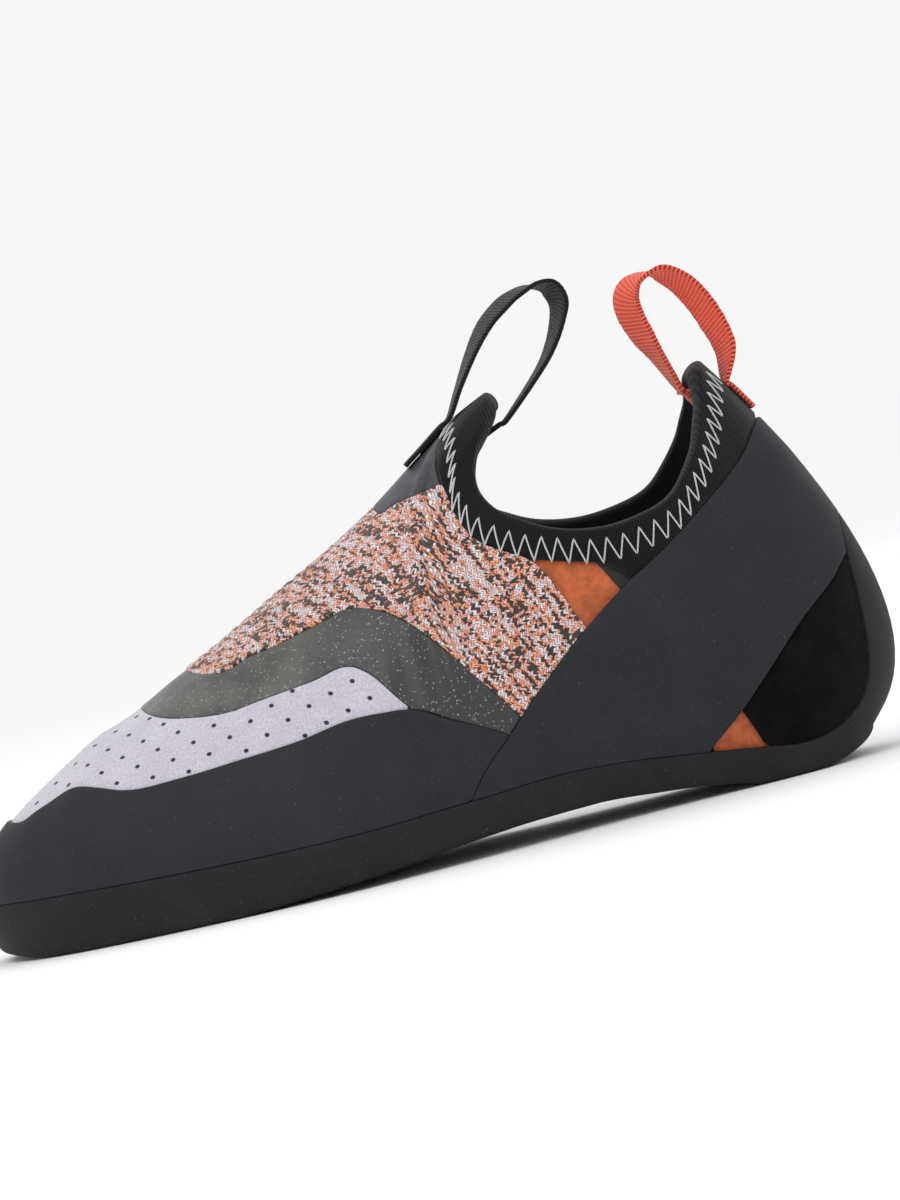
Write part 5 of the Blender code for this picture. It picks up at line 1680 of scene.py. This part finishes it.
@dataclass
class Studio:
    """Pale paper floor, soft lights and the camera of the photograph."""

    tilt: float = 13.8
    centre: tuple[float, float, float] = (-0.0751, -0.035, 0.0637)
    view_width: float = 0.2235
    distance: float = 1.25
    elevation: float = 0.6
    yaw: float = -3.2
    floor_width: float = 60.0

    def camera(self) -> None:
        """Aim the camera at the shoe's side, rolled so that the toe points down as photographed."""
        tilt, rise, turn = (math.radians(a) for a in (self.tilt, self.elevation, self.yaw))
        right = Vector((math.cos(tilt), 0.0, -math.sin(tilt)))
        up = Vector((math.sin(tilt), 0.0, math.cos(tilt)))
        ahead = Vector((0.0, 1.0, 0.0))
        swing = Matrix.Rotation(turn, 3, up)
        right, ahead = swing @ right, swing @ ahead
        pitch = Matrix.Rotation(-rise, 3, right)
        up, ahead = pitch @ up, pitch @ ahead
        place = Vector(self.centre) - ahead * self.distance
        data = bpy.data.cameras.new("photo_camera")
        data.sensor_fit = "HORIZONTAL"
        data.sensor_width = 36.0
        data.lens = 36.0 * self.distance / self.view_width
        data.clip_start, data.clip_end = 0.05, 20.0
        item = bpy.data.objects.new("photo_camera", data)
        basis = Matrix((right, up, -ahead)).transposed().to_4x4()
        item.matrix_world = Matrix.Translation(place) @ basis
        bpy.context.scene.collection.objects.link(item)
        bpy.context.scene.camera = item

    def floor(self) -> None:
        """A flat paper floor, which the white surround meets without a line."""
        half = 0.5 * self.floor_width
        corners = ((-half, -half), (half, -half), (half, half), (-half, half))
        mesh = bpy.data.meshes.new("paper_floor")
        mesh.from_pydata([(x, y, -FLOOR_GAP) for x, y in corners], [], [(0, 1, 2, 3)])
        mesh.materials.append(PAPER.material())
        item = bpy.data.objects.new("paper_floor", mesh)
        bpy.context.scene.collection.objects.link(item)

    def light(self, name: str, place: Sequence[float], size: float, watts: float) -> None:
        """A square soft light that faces the shoe."""
        data = bpy.data.lights.new(name, "AREA")
        data.shape = "SQUARE"
        data.size = size
        data.energy = watts
        item = bpy.data.objects.new(name, data)
        item.location = place
        aim = Vector(self.centre) - Vector(place)
        item.rotation_euler = aim.to_track_quat("-Z", "Y").to_euler()
        bpy.context.scene.collection.objects.link(item)

    def world(self) -> None:
        """An even white surround."""
        world = bpy.data.worlds.new("white_surround")
        world.use_nodes = True
        back = world.node_tree.nodes["Background"]
        back.inputs["Color"].default_value = linear("#FFFFFF")
        back.inputs["Strength"].default_value = 0.93
        bpy.context.scene.world = world
        bpy.context.scene.view_settings.view_transform = "Standard"

    def build(self) -> None:
        """Set up the whole studio."""
        self.world()
        self.floor()
        self.light("key_light", (-0.55, -0.75, 1.15), 0.9, 4.2)
        self.light("fill_light", (0.9, -1.0, 0.5), 1.0, 0.6)
        self.light("back_light", (0.1, 0.8, 1.2), 1.0, 2.6)
        self.camera()


def scallops(along: np.ndarray, height: np.ndarray) -> np.ndarray:
    """Soft ribs where the knit's courses bunch over the instep."""
    across = along * math.cos(math.radians(27.2)) + height * math.sin(math.radians(27.2))
    ripple = 0.5 - 0.5 * np.cos(2.0 * math.pi * across / 3.6)
    return 0.0004 * ripple ** 1.5 * np.clip((118.0 - along) / 20.0, 0.0, 1.0)


def panels() -> list[Panel]:
    """The overlays, from the toe to the heel."""
    rubber = SIZES.rubber
    band_waves = creased(
        Crease(176.0, 22.0, 20.0, 20.0, 5.0, -0.35), Crease(165.0, 38.0, 48.0, 26.0, 5.0, 0.3),
        Crease(205.0, 52.0, 55.0, 22.0, 7.0, -0.3), Crease(222.0, 66.0, 70.0, 16.0, 4.0, 0.35),
    )
    rand_waves = creased(
        Crease(60.0, 26.0, 4.0, 45.0, 5.0, 0.25), Crease(20.0, 27.0, 50.0, 8.0, 3.0, 0.3),
        Crease(118.0, 30.0, -35.0, 14.0, 4.0, 0.25),
    )
    film_waves = creased(
        Crease(78.0, 56.0, 12.0, 16.0, 3.0, -0.4), Crease(99.0, 58.0, 40.0, 8.0, 3.0, 0.45),
        Crease(126.0, 44.0, -58.0, 16.0, 4.5, 0.18), Crease(135.0, 33.0, -60.0, 10.0, 3.5, -0.12),
    )
    suede = (SKIN.above(Edge.SOLE_TOP, Edge.SUEDE_FRONT), SKIN.below(Edge.BAND_REAR), SIZES.suede_proud)
    return [
        Panel("toe_rand_rubber", "toe_rand", "rand_rubber", RAND_RUBBER,
              SKIN.above(Edge.SOLE_TOP, Edge.BAND_FRONT), SKIN.below(Edge.RAND_TOP), rubber,
              relief=rand_waves, soft=0.0005),
        Panel("tension_band_rubber", "tension_band", "rand_rubber", RAND_RUBBER,
              SKIN.above(Edge.SOLE_TOP, Edge.BAND_REAR), SKIN.below(Edge.BAND_FRONT), rubber,
              rows=34, relief=band_waves, soft=0.0006),
        Panel("toe_panel_perforated", "toe_panel", "grey_microfibre", GREY_MICROFIBRE,
              SKIN.above(Edge.RAND_TOP), SKIN.below(Edge.PANEL_TOP), SIZES.panel_proud),
        Panel("vamp_film", "vamp_overlay", "dark_film", DARK_FILM,
              SKIN.above(Edge.PANEL_TOP, Edge.RAND_TOP, Edge.BAND_FRONT),
              SKIN.below(Edge.OVERLAY_TOP), SIZES.film_proud, relief=film_waves),
        Panel("knit_instep", "knit_panel", "coral_knit", KNIT,
              SKIN.above(Edge.OVERLAY_TOP, Edge.BAND_FRONT), SKIN.below(Edge.KNIT_TOP),
              SIZES.knit_proud, rows=40, relief=scallops),
        Panel("instep_patch_smooth", "instep_patch", "smooth_patch", PATCH,
              SKIN.above(Edge.PATCH_LOW), SKIN.below(Edge.BINDING_LOW), SIZES.patch_proud),
        Panel("heel_suede_lateral", "heel_panel_lateral", "black_suede", SUEDE, *suede, sides=(-1,)),
        Panel("heel_suede_medial", "heel_panel_medial", "black_suede", SUEDE, *suede, sides=(1,)),
    ]


def main() -> None:
    """Build every piece in order."""
    logging.basicConfig(level=logging.INFO, format="%(message)s")
    Studio().build()
    Outsole().build()
    Upper().build()
    Insole().build()
    for panel in panels():
        panel.build()
    Binding().build()
    Seam().build()
    Loop("front_pull_loop_woven", "front_pull_loop", "black_webbing", BLACK_WEBBING,
         FRONT_TAIL_OUTSIDE, FRONT_LOOP, FRONT_TAIL_INSIDE).build()
    Loop("rear_pull_loop_woven", "rear_pull_loop", "coral_webbing", CORAL_WEBBING,
         REAR_TAIL_OUTSIDE, REAR_LOOP, REAR_TAIL_INSIDE).build()


if __name__ == "__main__":
    main()
